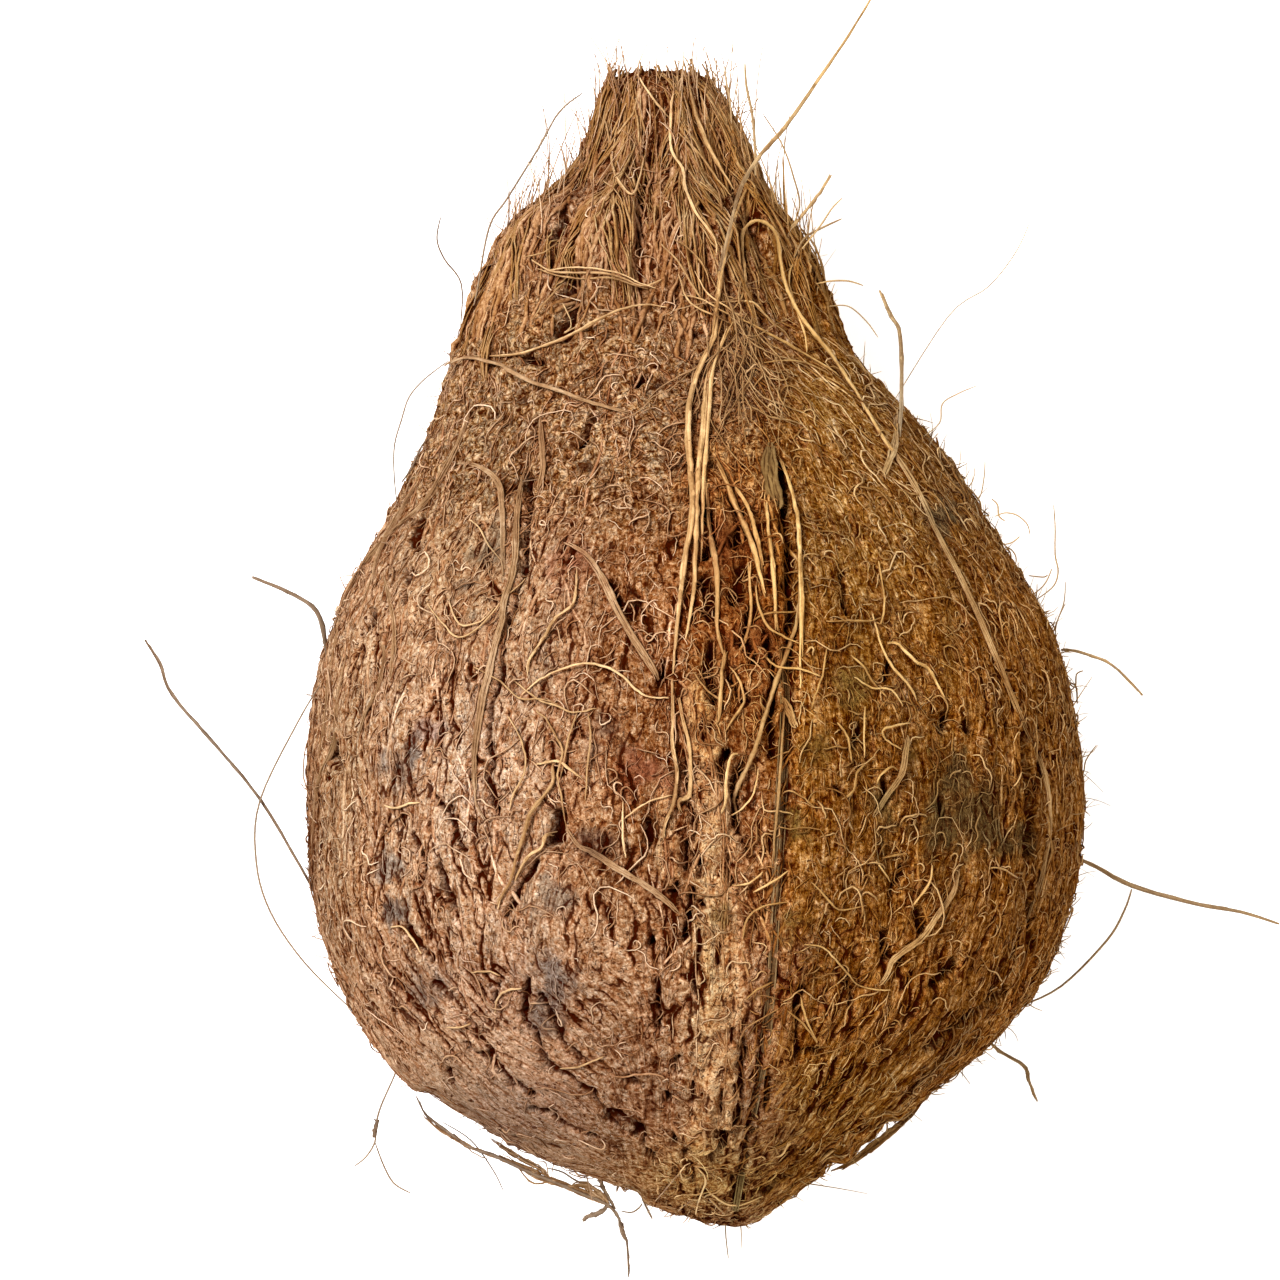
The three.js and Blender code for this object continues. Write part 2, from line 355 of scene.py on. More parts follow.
# The tuft's fibres end in a step over the finer mat of the right shoulder.
ARCH = [(3, 60), (8, 58.6), (13, 56), (18.5, 53), (25, 48)]
past_arch = plan[:, 1] - np.interp(plan[:, 0], [x for x, y in ARCH], [y for x, y in ARCH])
step = 0.8 * ramp(-0.4, 0.8, past_arch) * side * on_top

# Along the base the coat stands back from the strips that have torn loose: half width, how far back, then
# where.
TRIMS = [
    (2.2, 1.3, [(-35.5, -48.5), (-31, -51.6), (-27, -54)]),
    (2.2, 1.3, [(-24, -55), (-18, -56.8), (-12, -60), (-9, -61.6)]),
    (1.3, 1.7, [(26.6, -51), (24.6, -52.4), (22.4, -54)]),
    (0.8, 1.4, [(19.4, -56.2), (18.6, -56.9)]),
]
facing_out = ramp(-0.9, -0.4, coat_normals[:, 2]) * (1 - ramp(0.45, 0.85, coat_normals[:, 2]))
trim = np.zeros(len(coat_points))
for half_width, depth, route in TRIMS:
    trim = np.maximum(trim, depth * np.exp(-((plan_distance(plan, route) / half_width) ** 4)) * facing_out)

push = lumps + strands + crumbs + clumps + 1.3 * bundles + bulge + slab_relief + step - trim
push -= 0.52 * np.exp(-((crease / 0.32) ** 2)) * creased * (1 - 0.5 * fine_mat) * (1 - 0.6 * slab)
push -= 0.2 * np.exp(-((fine_crease / 0.30) ** 2)) * finely_creased * (1 - 0.6 * slab)
push -= cleft
coat_points += coat_normals * push[:, None]
coat_points[:, 2] = np.maximum(coat_points[:, 2], 0)
coat.data.vertices.foreach_set("co", (coat_points * MM).ravel())
coat.data.update()


def give_attribute(mesh, name, values):
    kind = "FLOAT" if values.ndim == 1 else "FLOAT_VECTOR"
    attribute = mesh.attributes.new(name, kind, "POINT")
    attribute.data.foreach_set("value" if values.ndim == 1 else "vector", values.astype(np.float32).ravel())


# Stains: where they lie, seen from above, how wide they are and their colour.
STAINS = [
    ((-39.7, -2.5), 4.0, (0.13, 0.115, 0.11)), ((-41.5, -16.5), 2.8, (0.24, 0.20, 0.165)),
    ((-39.6, -22), 2.6, (0.14, 0.125, 0.115)), ((-19.5, -21), 3.6, (0.26, 0.20, 0.15)),
    ((-19, -31), 3.6, (0.20, 0.165, 0.145)), ((-20, -37), 2.4, (0.16, 0.12, 0.10)),
    ((-35.6, -32.5), 3.2, (0.19, 0.145, 0.12)), ((33.8, 31.4), 2.8, (0.13, 0.10, 0.052)),
    ((38.0, -8.4), 6.6, (0.086, 0.061, 0.023)), ((33.4, -12.4), 3.4, (0.074, 0.052, 0.019)),
    ((43, -12.4), 3.4, (0.090, 0.066, 0.026)), ((36, -3.6), 2.6, (0.10, 0.070, 0.026)),
    ((-27.6, 28), 3.0, (0.17, 0.13, 0.085)), ((-31, 20), 2.4, (0.15, 0.12, 0.09)),
    ((26, -8), 2.6, (0.10, 0.068, 0.022)), ((-7, -3.6), 4.6, (0.25, 0.080, 0.038)),
    ((-16.5, 25), 4.2, (0.24, 0.085, 0.042)), ((7.5, 14), 4.6, (0.20, 0.058, 0.014)),
    ((4, 28), 5.2, (0.18, 0.055, 0.015)), ((-12.6, -13), 3.6, (0.11, 0.06, 0.042)),
    ((-11.5, 1.5), 3.4, (0.15, 0.085, 0.055)), ((22, 8), 3.0, (0.16, 0.095, 0.022)),
    ((18, 0), 2.6, (0.14, 0.075, 0.014)), ((30.5, 1), 2.6, (0.15, 0.095, 0.022)),
    ((13.6, -10), 2.2, (0.15, 0.095, 0.022)), ((13.2, -24), 2.2, (0.14, 0.085, 0.020)),
    ((4, -22.5), 1.8, (0.19, 0.115, 0.038)), ((-36, 2.4), 2.0, (0.30, 0.20, 0.165)),
    ((-38.4, -0.4), 1.8, (0.19, 0.165, 0.15)),
]

# Slow changes of colour over the nut: where, how far they reach across and along, and what they multiply. The
# narrow dark one along the left outline, at x -51.9, is painted shade at the edge.
WASHES = [
    ((26, 31), (12, 11), (1.16, 1.33, 1.55)), ((20, 48), (8, 8), (1.25, 1.50, 1.9)),
    ((-31, 24), (10, 10), (0.92, 0.94, 0.88)), ((-48, -5), (4.5, 22), (0.90, 0.94, 0.91)),
    ((-22, -49), (14, 7), (0.68, 0.70, 0.80)), ((-26, -33), (14, 9), (0.90, 0.90, 0.97)),
    ((-31, -5), (9, 14), (1.12, 1.24, 1.40)), ((-51.9, -15), (0.8, 14), (0.35, 0.22, 0.14)),
    ((33.4, -7), (1.5, 9), (0.56, 0.60, 0.56)), ((26, -15), (1.6, 6), (0.60, 0.62, 0.56)),
    ((34.8, 14), (1.5, 8), (0.66, 0.68, 0.64)), ((22.8, 8), (1.8, 11), (0.70, 0.76, 0.74)),
    ((20, 22), (1.2, 10), (0.76, 0.78, 0.76)), ((15.6, 12), (1.2, 26), (1.06, 1.12, 1.14)),
    ((45, -4), (5, 28), (1.12, 1.16, 1.22)), ((46.6, -8), (1.1, 12), (0.58, 0.52, 0.44)),
    ((2.5, -28), (4, 18), (0.98, 1.06, 1.04)), ((3, -59), (10, 5), (1.42, 1.55, 1.05)),
    ((20, -48), (9, 7), (1.24, 1.36, 1.26)), ((11, 64), (6, 9), (1.08, 1.06, 1.02)),
    ((26, 5), (9, 14), (0.92, 0.95, 0.95)), ((66, -22), (15, 9), (0.58, 0.56, 0.62)),
    ((7, 23), (5, 13), (0.88, 0.73, 0.57)), ((-24, 60), (9, 8), (1.06, 1.05, 0.97)),
]


def tint_stain_and_shade(mesh, points, taken=1.0):
    """Gives a piece a share of the tint, the stains and some painted shade where its points lie, in
    millimetres.
    """
    seen = on_sheet(points)
    blurred = 2.2 * wobble(points, 3.4, 21) + 1.5 * wobble(points, 1.1, 22)
    stain = np.zeros((len(points), 3))
    share = np.zeros(len(points))
    for place, spread, stain_colour in STAINS:
        there = 1 - ramp(0.1 * spread, 1.2 * spread, np.hypot(*(seen - place).T) + blurred)
        stain += there[:, None] * np.array(stain_colour)
        share += there
    stain /= np.maximum(share, 1e-6)[:, None]
    share *= ramp(22, 40, points[:, 2])  # the stains are on the upper side alone
    turn = around(points)
    ribbon = np.stack([NUT_RADIUS * np.sin(turn), NUT_RADIUS * np.cos(turn), 0.16 * points[:, 1]], axis=1)
    streak = wobble(ribbon, 4.5, 23)
    cloud = wobble(points, 15, 24)
    golden_side = ramp(8, 16, seen[:, 0])
    red_part = 1 + 0.08 * cloud + 0.16 * golden_side * streak
    green_part = 1 + 0.06 * cloud + 0.10 * golden_side * streak - 0.05 * (1 - golden_side) * streak
    blue_part = 1 + 0.04 * cloud - 0.05 * golden_side * streak - 0.08 * (1 - golden_side) * streak
    # the hollows between the seam and the broken slabs are painted redder and darker, as their shade
    ridge = band(-5, 2, 12, 15, seen[:, 0]) * band(-8, 4, 38, 50, seen[:, 1])
    green_part *= 1 - 0.12 * ridge
    blue_part *= 1 - 0.38 * ridge
    tint_and_shade = np.stack([red_part, green_part, blue_part], axis=1)
    for place, reach, colour in WASHES:
        there = np.exp(-(((seen - place) / reach) ** 2).sum(axis=1))
        tint_and_shade *= 1 + there[:, None] * (np.array(colour) - 1)
    give_attribute(mesh, "tint_and_shade", 1 + taken * (tint_and_shade - 1))
    give_attribute(mesh, "stain", stain)
    give_attribute(mesh, "stained", 0.8 * taken * np.minimum(share, 1))


# Painted shade: how sunk each point is in the clefts and between strands, crumbs and clumps, which the husk
# shader darkens.
give_attribute(coat.data, "hollow_shade", np.clip(0.3 * cleft - 0.4 * strands - 0.5 * crumbs - 0.9 * clumps, 0, 1))
give_attribute(coat.data, "grain", wavy_grain)
give_attribute(coat.data, "plan", np.stack([plan[:, 0], plan[:, 1], slab], axis=1))
near_cleft = np.minimum(from_cleft, CLEFTS_FELT)
give_attribute(coat.data, "lines", np.stack([crease, fine_crease, near_cleft], axis=1))
give_attribute(coat.data, "lined", np.stack([creased, finely_creased, shoulder], axis=1))
tint_stain_and_shade(coat.data, coat_points)

# The coat is one skin, kept as an upper and a lower piece that meet at the nut's widest girth.
GIRTH = 47.0 * MM
UNDER_KEPT = 0.5  # the share of its faces that the lower piece keeps
surface = BVHTree.FromObject(coat, bpy.context.evaluated_depsgraph_get())
areas = np.array([polygon.area for polygon in coat.data.polygons])
centres = np.empty(len(coat.data.polygons) * 3, np.float32)
coat.data.polygons.foreach_get("center", centres)
centres = centres.reshape(-1, 3)


def half_of(piece, name, keep_above, kept):
    """One half of the coat, thinned to a share of its faces away from the rim."""
    half = link(bpy.data.objects.new(name, piece.data.copy()))
    bm = bmesh.new()
    bm.from_mesh(half.data)
    everything = bm.verts[:] + bm.edges[:] + bm.faces[:]
    bmesh.ops.bisect_plane(bm, geom=everything, plane_co=(0, 0, GIRTH), plane_no=(0, 0, 1),
                           clear_inner=keep_above, clear_outer=not keep_above)
    rim = [edge for edge in bm.edges if edge.is_boundary]
    lid = bmesh.ops.edgeloop_fill(bm, edges=rim)["faces"]
    for edge in rim:
        edge.smooth = False
    bmesh.ops.triangulate(bm, faces=lid)
    bm.to_mesh(half.data)
    bm.free()
    if kept < 1:
        on_rim = [v.index for v in half.data.vertices if abs(v.co.z - GIRTH) < 0.4 * MM]
        half.vertex_groups.new(name="rim").add(on_rim, 1.0, "REPLACE")
        thin = half.modifiers.new("thin", "DECIMATE")
        thin.ratio = kept
        thin.vertex_group = "rim"
        thin.invert_vertex_group = True
        half = settle(half)
        shape = vertex_array(half.data, "co")
        shape[:, 2] = np.maximum(shape[:, 2], 0)
        half.data.vertices.foreach_set("co", shape.astype(np.float32).ravel())
    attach(half, "root")
    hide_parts("coconut")
    return half


coat_halves = [half_of(coat, "husk_coat", True, 1.0), half_of(coat, "husk_coat_under", False, UNDER_KEPT)]
bpy.data.objects.remove(coat)


def add(tree, kind, settings=None, **inputs):
    """Adds a shader node. An input is a socket to link or a value to set. Its name's _ stand for spaces."""
    made = tree.nodes.new("ShaderNode" + kind)
    for name, value in (settings or {}).items():
        setattr(made, name, value)
    for name, value in inputs.items():
        number = name[2:] if name.startswith("in") and name[2:].isdigit() else None
        socket = made.inputs[int(number)] if number else made.inputs[name.replace("_", " ")]
        if isinstance(value, bpy.types.NodeSocket):
            tree.links.new(value, socket)
        else:
            socket.default_value = value
    return made


def shades(tree, factor, stops):
    """A colour ramp: stops are (place, (red, green, blue))."""
    made = add(tree, "ValToRGB", Fac=factor)
    elements = made.color_ramp.elements
    while len(elements) < len(stops):
        elements.new(1.0)
    for element, (place, colour) in zip(elements, stops):
        element.position = place
        element.color = (*colour, 1)
    return made.outputs["Color"]


def blend(tree, factor, first, second, how="MIX"):
    made = tree.nodes.new("ShaderNodeMix")
    made.data_type = "RGBA"
    made.blend_type = how
    made.clamp_factor = True
    made.clamp_result = False
    for socket, value in ((made.inputs[0], factor), (made.inputs[6], first), (made.inputs[7], second)):
        if isinstance(value, bpy.types.NodeSocket):
            tree.links.new(value, socket)
        elif isinstance(value, tuple):
            socket.default_value = (*value, 1)
        else:
            socket.default_value = value
    return made.outputs[2]


def eased(tree, value, low, high):
    eases = {"interpolation_type": "SMOOTHSTEP"}
    return add(tree, "MapRange", eases, Value=value, From_Min=low, From_Max=high).outputs["Result"]


def math_node(tree, how, first, second=0.0):
    return add(tree, "Math", {"operation": how}, in0=first, in1=second).outputs[0]


def times(tree, first, second):
    return math_node(tree, "MULTIPLY", first, second)


def plus(tree, first, second):
    return math_node(tree, "ADD", first, second)


def minus(tree, first, second):
    return math_node(tree, "SUBTRACT", first, second)


def rest_of(tree, share):
    """What a share leaves of 1."""
    return math_node(tree, "SUBTRACT", 1.0, share)


def new_material(name):
    material = bpy.data.materials.new(name)
    material.use_nodes = True
    tree = material.node_tree
    shader = tree.nodes["Principled BSDF"]
    return material, tree, shader


def millimetres(tree):
    """Object coordinates in millimetres, and their X."""
    where = add(tree, "TexCoord").outputs["Object"]
    to_millimetres = {"Vector": where, "Scale": (1 / MM,) * 3}
    scaled = add(tree, "Mapping", {"vector_type": "POINT"}, **to_millimetres).outputs["Vector"]
    return scaled, add(tree, "SeparateXYZ", Vector=scaled).outputs["X"]


def painted_crevice_shade(tree, colour, reach, shadow_colour, low=0.2, high=0.9):
    """Painted shade: where other husk or fibres crowd a colour within reach, it turns the darker red-brown of
    the shade in there.
    """
    occlusion = add(tree, "AmbientOcclusion", {"samples": 2}, Distance=reach).outputs["AO"]
    tinted_and_shaded = blend(tree, 1.0, colour, shadow_colour, "MULTIPLY")
    return blend(tree, eased(tree, occlusion, low, high), tinted_and_shaded, colour)


def crack_lines(tree, coords, scale, width):
    """1 along the thin wavy lines where a noise crosses its middle value, 0 away from them."""
    made = add(tree, "TexNoise", Vector=coords, Scale=scale, Detail=2.5, Roughness=0.55, Distortion=1.1)
    off = math_node(tree, "ABSOLUTE", minus(tree, made.outputs["Fac"], 0.5))
    return rest_of(tree, eased(tree, off, 0.2 * width, width))


# Left of the seam the husk is a pinkish tan, right of it a golden brown, taken by the height of its grain. The
# ramps' deep red-brown low ends are painted shade in the hollows, their pale high ends painted light on the
# tops.
PINK_TAN = [(0.12, (0.08, 0.012, 0.001)), (0.34, (0.31, 0.140, 0.056)), (0.56, (0.49, 0.310, 0.185)),
            (0.90, (0.75, 0.56, 0.41))]
RED_TAN = [(0.18, (0.05, 0.006, 0.0004)), (0.40, (0.18, 0.056, 0.011)), (0.60, (0.37, 0.185, 0.080)),
           (0.90, (0.69, 0.49, 0.32))]
CRUMBLY = [(0.16, (0.065, 0.009, 0.0006)), (0.38, (0.30, 0.130, 0.036)), (0.58, (0.53, 0.325, 0.165)),
           (0.90, (0.71, 0.51, 0.325))]
GOLDEN = [(0.22, (0.042, 0.0045, 0.0002)), (0.42, (0.175, 0.060, 0.004)), (0.60, (0.360, 0.170, 0.044)),
          (0.76, (0.55, 0.325, 0.135)), (0.90, (0.70, 0.480, 0.26))]
# Painted shade: the deep red-brown of the hollows, lines and pits.
HOLLOW_SHADE = (0.040, 0.0045, 0.0002)
# Painted shade: the red-brown that crowded crevices turn, and how near the crowding reaches.
CREVICE_SHADE = (0.45, 0.17, 0.05)
CREVICE_SHADE_WITHIN = 1.4 * MM
# Painted shade on the slopes beside creases.
VERGE_SHADE = (0.50, 0.27, 0.13)
# Painted highlight on the turned-up edges of flakes.
RIM_HIGHLIGHT = (1.3, 1.3, 1.3)
GRIT_HEIGHT = 0.34 * MM
# Specks of grain tone: the palest are painted highlights, the darkest painted shade between the grains.
SPECKS_AND_HIGHLIGHTS = [(0.34, (0.38, 0.17, 0.06)), (0.46, (0.92, 0.86, 0.78)), (0.58, (1.04, 1.04, 1.03)),
            (0.70, (1.40, 1.44, 1.50))]
SLAB_TONES = [(0.15, (0.16, 0.048, 0.007)), (0.38, (0.44, 0.225, 0.092)), (0.62, (0.60, 0.385, 0.210)),
              (0.90, (0.70, 0.50, 0.31))]


def narrow(tree, distance, width, fray):
    """1 on a line's middle, 0 beyond its width, with frayed edges."""
    off = plus(tree, math_node(tree, "ABSOLUTE", distance), fray)
    return rest_of(tree, eased(tree, off, 0.45 * width, width))


def faded(tree, distance, share, by):
    """A line's distance, made longer where its share drops, so that the line tapers away."""
    missing = rest_of(tree, share)
    return plus(tree, math_node(tree, "ABSOLUTE", distance), times(tree, missing, by))


def tinted_and_shaded(tree, colour, height):
    """A colour with the piece's own tint, stains and some painted shade. height, 0 to 1, is how light it is."""
    tint_and_shade = add(tree, "Attribute", {"attribute_name": "tint_and_shade"}).outputs["Vector"]
    stain = add(tree, "Attribute", {"attribute_name": "stain"}).outputs["Vector"]
    stained = add(tree, "Attribute", {"attribute_name": "stained"}).outputs["Fac"]
    tone = add(tree, "MapRange", Value=height, To_Min=0.35, To_Max=1.5).outputs["Result"]
    toned = add(tree, "VectorMath", {"operation": "SCALE"}, in0=stain, Scale=tone).outputs["Vector"]
    return blend(tree, stained, blend(tree, 1.0, colour, tint_and_shade, "MULTIPLY"), toned)


def attribute_parts(tree, name):
    found = add(tree, "Attribute", {"attribute_name": name}).outputs["Vector"]
    parts = add(tree, "SeparateXYZ", Vector=found)
    return found, [parts.outputs[axis] for axis in "XYZ"]


husk_material, tree, shader = new_material("husk")
where, _ = millimetres(tree)
_, (plan_x, plan_y, slab_there) = attribute_parts(tree, "plan")
_, (crease_value, fine_crease_value, cleft_reach) = attribute_parts(tree, "lines")
_, (crease_share, fine_crease_share, crumbly) = attribute_parts(tree, "lined")
grain_coords = add(tree, "Attribute", {"attribute_name": "grain"}).outputs["Vector"]
strand_noise = add(tree, "TexNoise", Vector=grain_coords, Scale=0.9, Detail=6, Roughness=0.66, Distortion=0.6)
hair_noise = add(tree, "TexNoise", Vector=grain_coords, Scale=3.0, Detail=4, Roughness=0.7, Distortion=0.5)
crumb_noise = add(tree, "TexNoise", Vector=where, Scale=1.3, Detail=6, Roughness=0.72, Distortion=0.6)
pit_noise = add(tree, "TexNoise", Vector=where, Scale=1.7, Detail=4, Roughness=0.6, Distortion=1.0)
uneven = add(tree, "TexNoise", Vector=where, Scale=0.10, Detail=3)
fray_noise = add(tree, "TexNoise", Vector=where, Scale=1.3, Detail=4, Roughness=0.65)
fray = minus(tree, fray_noise.outputs["Fac"], 0.5)
edge = plus(tree, plan_x, times(tree, uneven.outputs["Fac"], 14.0))
right = eased(tree, edge, 13, 23)
strand_height = blend(tree, 0.5, strand_noise.outputs["Fac"], hair_noise.outputs["Fac"])
base = rest_of(tree, eased(tree, plan_y, -44, -26))
# How far the husk is drawn out in strands, rather than crumbled.
strand_share = times(tree, right, plus(tree, 0.08, times(tree, base, 0.38)))
strand_share = plus(tree, plus(tree, strand_share, 0.36), times(tree, right, 0.12))
strand_share = times(tree, strand_share, rest_of(tree, times(tree, crumbly, 0.8)))
strand_share = math_node(tree, "MAXIMUM", strand_share, times(tree, slab_there, 0.5))
height = blend(tree, strand_share, crumb_noise.outputs["Fac"], strand_height)
steep = {"From_Min": 0.345, "From_Max": 0.655, "To_Min": 0.0, "To_Max": 1.0}
height = add(tree, "MapRange", {"clamp": False}, Value=height, **steep).outputs["Result"]
plates = times(tree, rest_of(tree, eased(tree, edge, -16, -4)), rest_of(tree, crumbly))
calm = times(tree, plates, plus(tree, 0.22, times(tree, base, 0.3)))
height = blend(tree, calm, height, (0.60, 0.60, 0.60))

# Dark lines of painted shade: the clefts, the creases of the grain, and hair cracks too fine for the mesh.
cleft_line = narrow(tree, cleft_reach, 1.1, times(tree, fray, 1.6))
from_crease = faded(tree, crease_value, crease_share, 0.45)
from_fine_crease = faded(tree, fine_crease_value, fine_crease_share, 0.35)
creases = narrow(tree, from_crease, 0.34, times(tree, fray, 0.9))
fine_creases = narrow(tree, from_fine_crease, 0.20, times(tree, fray, 0.7))
patches = eased(tree, add(tree, "TexNoise", Vector=where, Scale=0.22, Detail=3).outputs["Fac"], 0.42, 0.60)
hair_cracks = times(tree, patches, crack_lines(tree, grain_coords, 0.8, 0.03))
crumb_cracks = times(tree, crack_lines(tree, where, 0.75, 0.05), plus(tree, times(tree, crumbly, 0.6), 0.25))
pits = rest_of(tree, eased(tree, pit_noise.outputs["Fac"], 0.365, 0.405))
lines = cleft_line
for kind, strength in (
    (creases, 1.0),
    (fine_creases, 0.9),
    (hair_cracks, 0.6),
    (crumb_cracks, 0.8),
    (pits, 0.9),
):
    lines = math_node(tree, "MAXIMUM", lines, times(tree, kind, strength))

# Colour by grain height: the low ends are painted shade, the high ends painted light, over the grain's own
# tone.
pink = shades(tree, height, PINK_TAN)
red = shades(tree, height, RED_TAN)
crumb = shades(tree, height, CRUMBLY)
golden = shades(tree, height, GOLDEN)
# The left face reddens towards the seam, though less so along the base.
above_base = {"From_Min": -34.0, "From_Max": -12.0, "To_Min": 0.3, "To_Max": 1.0}
redder = add(tree, "MapRange", Value=plan_y, **above_base).outputs["Result"]
towards_seam = times(tree, redder, eased(tree, plus(tree, edge, -4.0), -22, -4))
left_colour = blend(tree, crumbly, blend(tree, towards_seam, pink, red), crumb)
colour = blend(tree, right, left_colour, golden)
colour = blend(tree, times(tree, slab_there, 0.92), colour, shades(tree, height, SLAB_TONES))
colour = tinted_and_shaded(tree, colour, height)
# The husk beside a crease slopes into it, and the slope is painted redder and darker, as the shade there.
beside_fine_crease = times(tree, narrow(tree, from_fine_crease, 0.40, fray), 0.8)
verge_shade = math_node(tree, "MAXIMUM", narrow(tree, from_crease, 0.75, fray), beside_fine_crease)
colour = blend(tree, times(tree, verge_shade, 0.7), colour, blend(tree, 1.0, colour, VERGE_SHADE, "MULTIPLY"))
# Flakes of husk turn up along a crease, and their edges are painted paler, as highlights.
rim = times(tree, eased(tree, from_crease, 0.35, 0.55), rest_of(tree, eased(tree, from_crease, 0.65, 1.05)))
rim_highlit = blend(tree, 1.0, colour, RIM_HIGHLIGHT, "MULTIPLY")
colour = blend(tree, times(tree, rim, 0.6), colour, rim_highlit)
# Specks of the grain's own tone; the palest are painted highlights on the grains, the darkest painted shade
# between them.
speckle = add(tree, "TexNoise", Vector=where, Scale=2.3, Detail=3, Roughness=0.7)
specked = blend(tree, 1.0, colour, shades(tree, speckle.outputs["Fac"], SPECKS_AND_HIGHLIGHTS), "MULTIPLY")
colour = blend(tree, minus(tree, 0.85, times(tree, crumbly, 0.45)), colour, specked)
# Painted shade: the lines and pits take the deep red-brown of a shaded hollow, as do the sunk places below.
colour = blend(tree, lines, colour, HOLLOW_SHADE)
sunk_shade = add(tree, "Attribute", {"attribute_name": "hollow_shade"}).outputs["Fac"]
colour = blend(tree, eased(tree, sunk_shade, 0.15, 0.9), colour, HOLLOW_SHADE)
# Painted shade in the crevices, where other husk or fibres crowd the coat.
colour = painted_crevice_shade(tree, colour, CREVICE_SHADE_WITHIN, CREVICE_SHADE)
grit = add(tree, "TexNoise", Vector=where, Scale=3.4, Detail=2, Roughness=0.6)
relief = minus(tree, times(tree, height, 0.8), times(tree, lines, 1.4))
relief = plus(tree, relief, times(tree, grit.outputs["Fac"], 0.9))
bump = add(tree, "Bump", Strength=1.0, Distance=GRIT_HEIGHT, Height=relief)
tree.links.new(colour, shader.inputs["Base Color"])
tree.links.new(bump.outputs["Normal"], shader.inputs["Normal"])
shader.inputs["Roughness"].default_value = 1.0
shader.inputs["Specular IOR Level"].default_value = 0.0
for half in coat_halves:
    half.data.materials.append(husk_material)


# ----------------------------------------------------------------------------------------------------
# The mat of coir. Short fibres lie on the husk, most of them lengthwise, half sunk in it, and bridge its
# fissures. Each is walked over the smooth solid, then dropped onto the coat, and all of a piece's fibres are
# one curve.
guide_piece = merged_copy("coconut", "guide")
guide = BVHTree.FromObject(guide_piece, bpy.context.evaluated_depsgraph_get())
bpy.data.objects.remove(guide_piece)
LENGTHWISE = Vector((0, 1, 0))
DROP = 8 * MM  # how far above the solid a fibre starts to drop
CUT_END = 86 * MM  # beyond this the tuft's fibres run on freely
chance = np.random.default_rng(11)


def coat_height(point, normal):
    """How far the coat stands above a point of the smooth solid."""
    hit, _, _, _ = surface.ray_cast(point + normal * DROP, -normal, 2 * DROP)
    return (hit - point).dot(normal) if hit else 0.0


def lengthwise_and_across(normal):
    """The two directions square to a normal: along the nut, and round it."""
    forward = (LENGTHWISE - normal * LENGTHWISE.dot(normal)).normalized()
    return forward, normal.cross(forward)


def walk(start, headings, stride):
    """A path over the solid: its points and the normals there. A heading is an angle from lengthwise."""
    point, normal, _, _ = guide.find_nearest(start)
    points, normals = [point], [normal]
    free = None
    for heading in headings:
        forward, across = lengthwise_and_across(normal)
        step = (forward * math.cos(heading) + across * math.sin(heading)) * stride
        if point.y > CUT_END and free is None:
            free = (points[-1] - points[-2]).normalized() * stride if len(points) > 1 else step
        if free is not None:
            point = point + free
        else:
            point, normal, _, _ = guide.find_nearest(point + step)
        points.append(point)
        normals.append(normal)
    return points, normals


def stiffened(heights, stiffness, evened):
    """Heights along a fibre, which spans the hollows that it is too stiff to follow."""
    for _ in range(stiffness):
        ends = np.pad(heights, 1, mode="edge")
        bridged = (ends[:-2] + ends[2:]) / 2
        heights = (1 - evened) * np.maximum(heights, bridged) + evened * bridged
    return heights


def lie(points, normals, lift, stiffness=2):
    """Drops a path onto the coat. lift is its height over the coat at each point, in metres."""
    heights = stiffened(np.array([coat_height(p, n) for p, n in zip(points, normals)]), stiffness, 0.4)
    return [p + n * (h + up) for p, n, h, up in zip(points, normals, heights, lift)]


def wander(start, spread, steps, pull=0.2):
    """Headings that stray from the first one and are drawn back to it."""
    headings = [start]
    turn = 0.0
    for _ in range(steps - 1):
        turn = 0.5 * turn + chance.normal(0, spread)
        headings.append(headings[-1] + turn - pull * (headings[-1] - start))
    return headings


def tapered(count, radius, tip=0.35):
    """Radii that thin towards both ends."""
    shares = np.linspace(0, 1, count)
    return radius * (tip + (1 - tip) * np.sin(np.pi * shares) ** 0.5)


def kinked(points, amount):
    """A path with small random kinks in it. Metres."""
    return [p + Vector(chance.normal(0, amount, 3)) for p in points]


def knotty(radii, amount=0.14):
    """Radii that vary a little at random along a fibre."""
    return radii * np.clip(chance.normal(1, amount, len(radii)), 0.6, 1.5)


def strand_piece(name, strands, sides, material, taken=1.0):
    """One mesh of many fibres, which takes a share of the husk's tint. A strand is (points, radii)."""
    ring = bpy.data.curves.new(name + "_ring", "CURVE")
    section = ring.splines.new("POLY")
    section.points.add(sides - 1)
    for i, corner in enumerate(section.points):
        turn = 2 * math.pi * i / sides
        corner.co = (math.cos(turn), math.sin(turn), 0, 1)
    section.use_cyclic_u = True
    ring_object = link(bpy.data.objects.new(name + "_ring", ring))
    curve = bpy.data.curves.new(name, "CURVE")
    curve.dimensions = "3D"
    curve.bevel_mode = "OBJECT"
    curve.bevel_object = ring_object
    curve.use_fill_caps = True
    for points, radii in strands:
        spline = curve.splines.new("POLY")
        spline.points.add(len(points) - 1)
        spline.points.foreach_set("co", [v for p in points for v in (*p, 1)])
        spline.points.foreach_set("radius", list(radii))
    made = settle(link(bpy.data.objects.new(name, curve)))
    bpy.data.objects.remove(ring_object)
    shape = vertex_array(made.data, "co")
    shape[:, 2] = np.maximum(shape[:, 2], 0)
    made.data.vertices.foreach_set("co", shape.astype(np.float32).ravel())
    made.data.materials.clear()
    made.data.materials.append(material)
    tint_stain_and_shade(made.data, shape / MM, taken)
    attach(made, "root")
    return made


USUAL_VARIETY = 0.52  # how much the shade of one fibre differs from the next


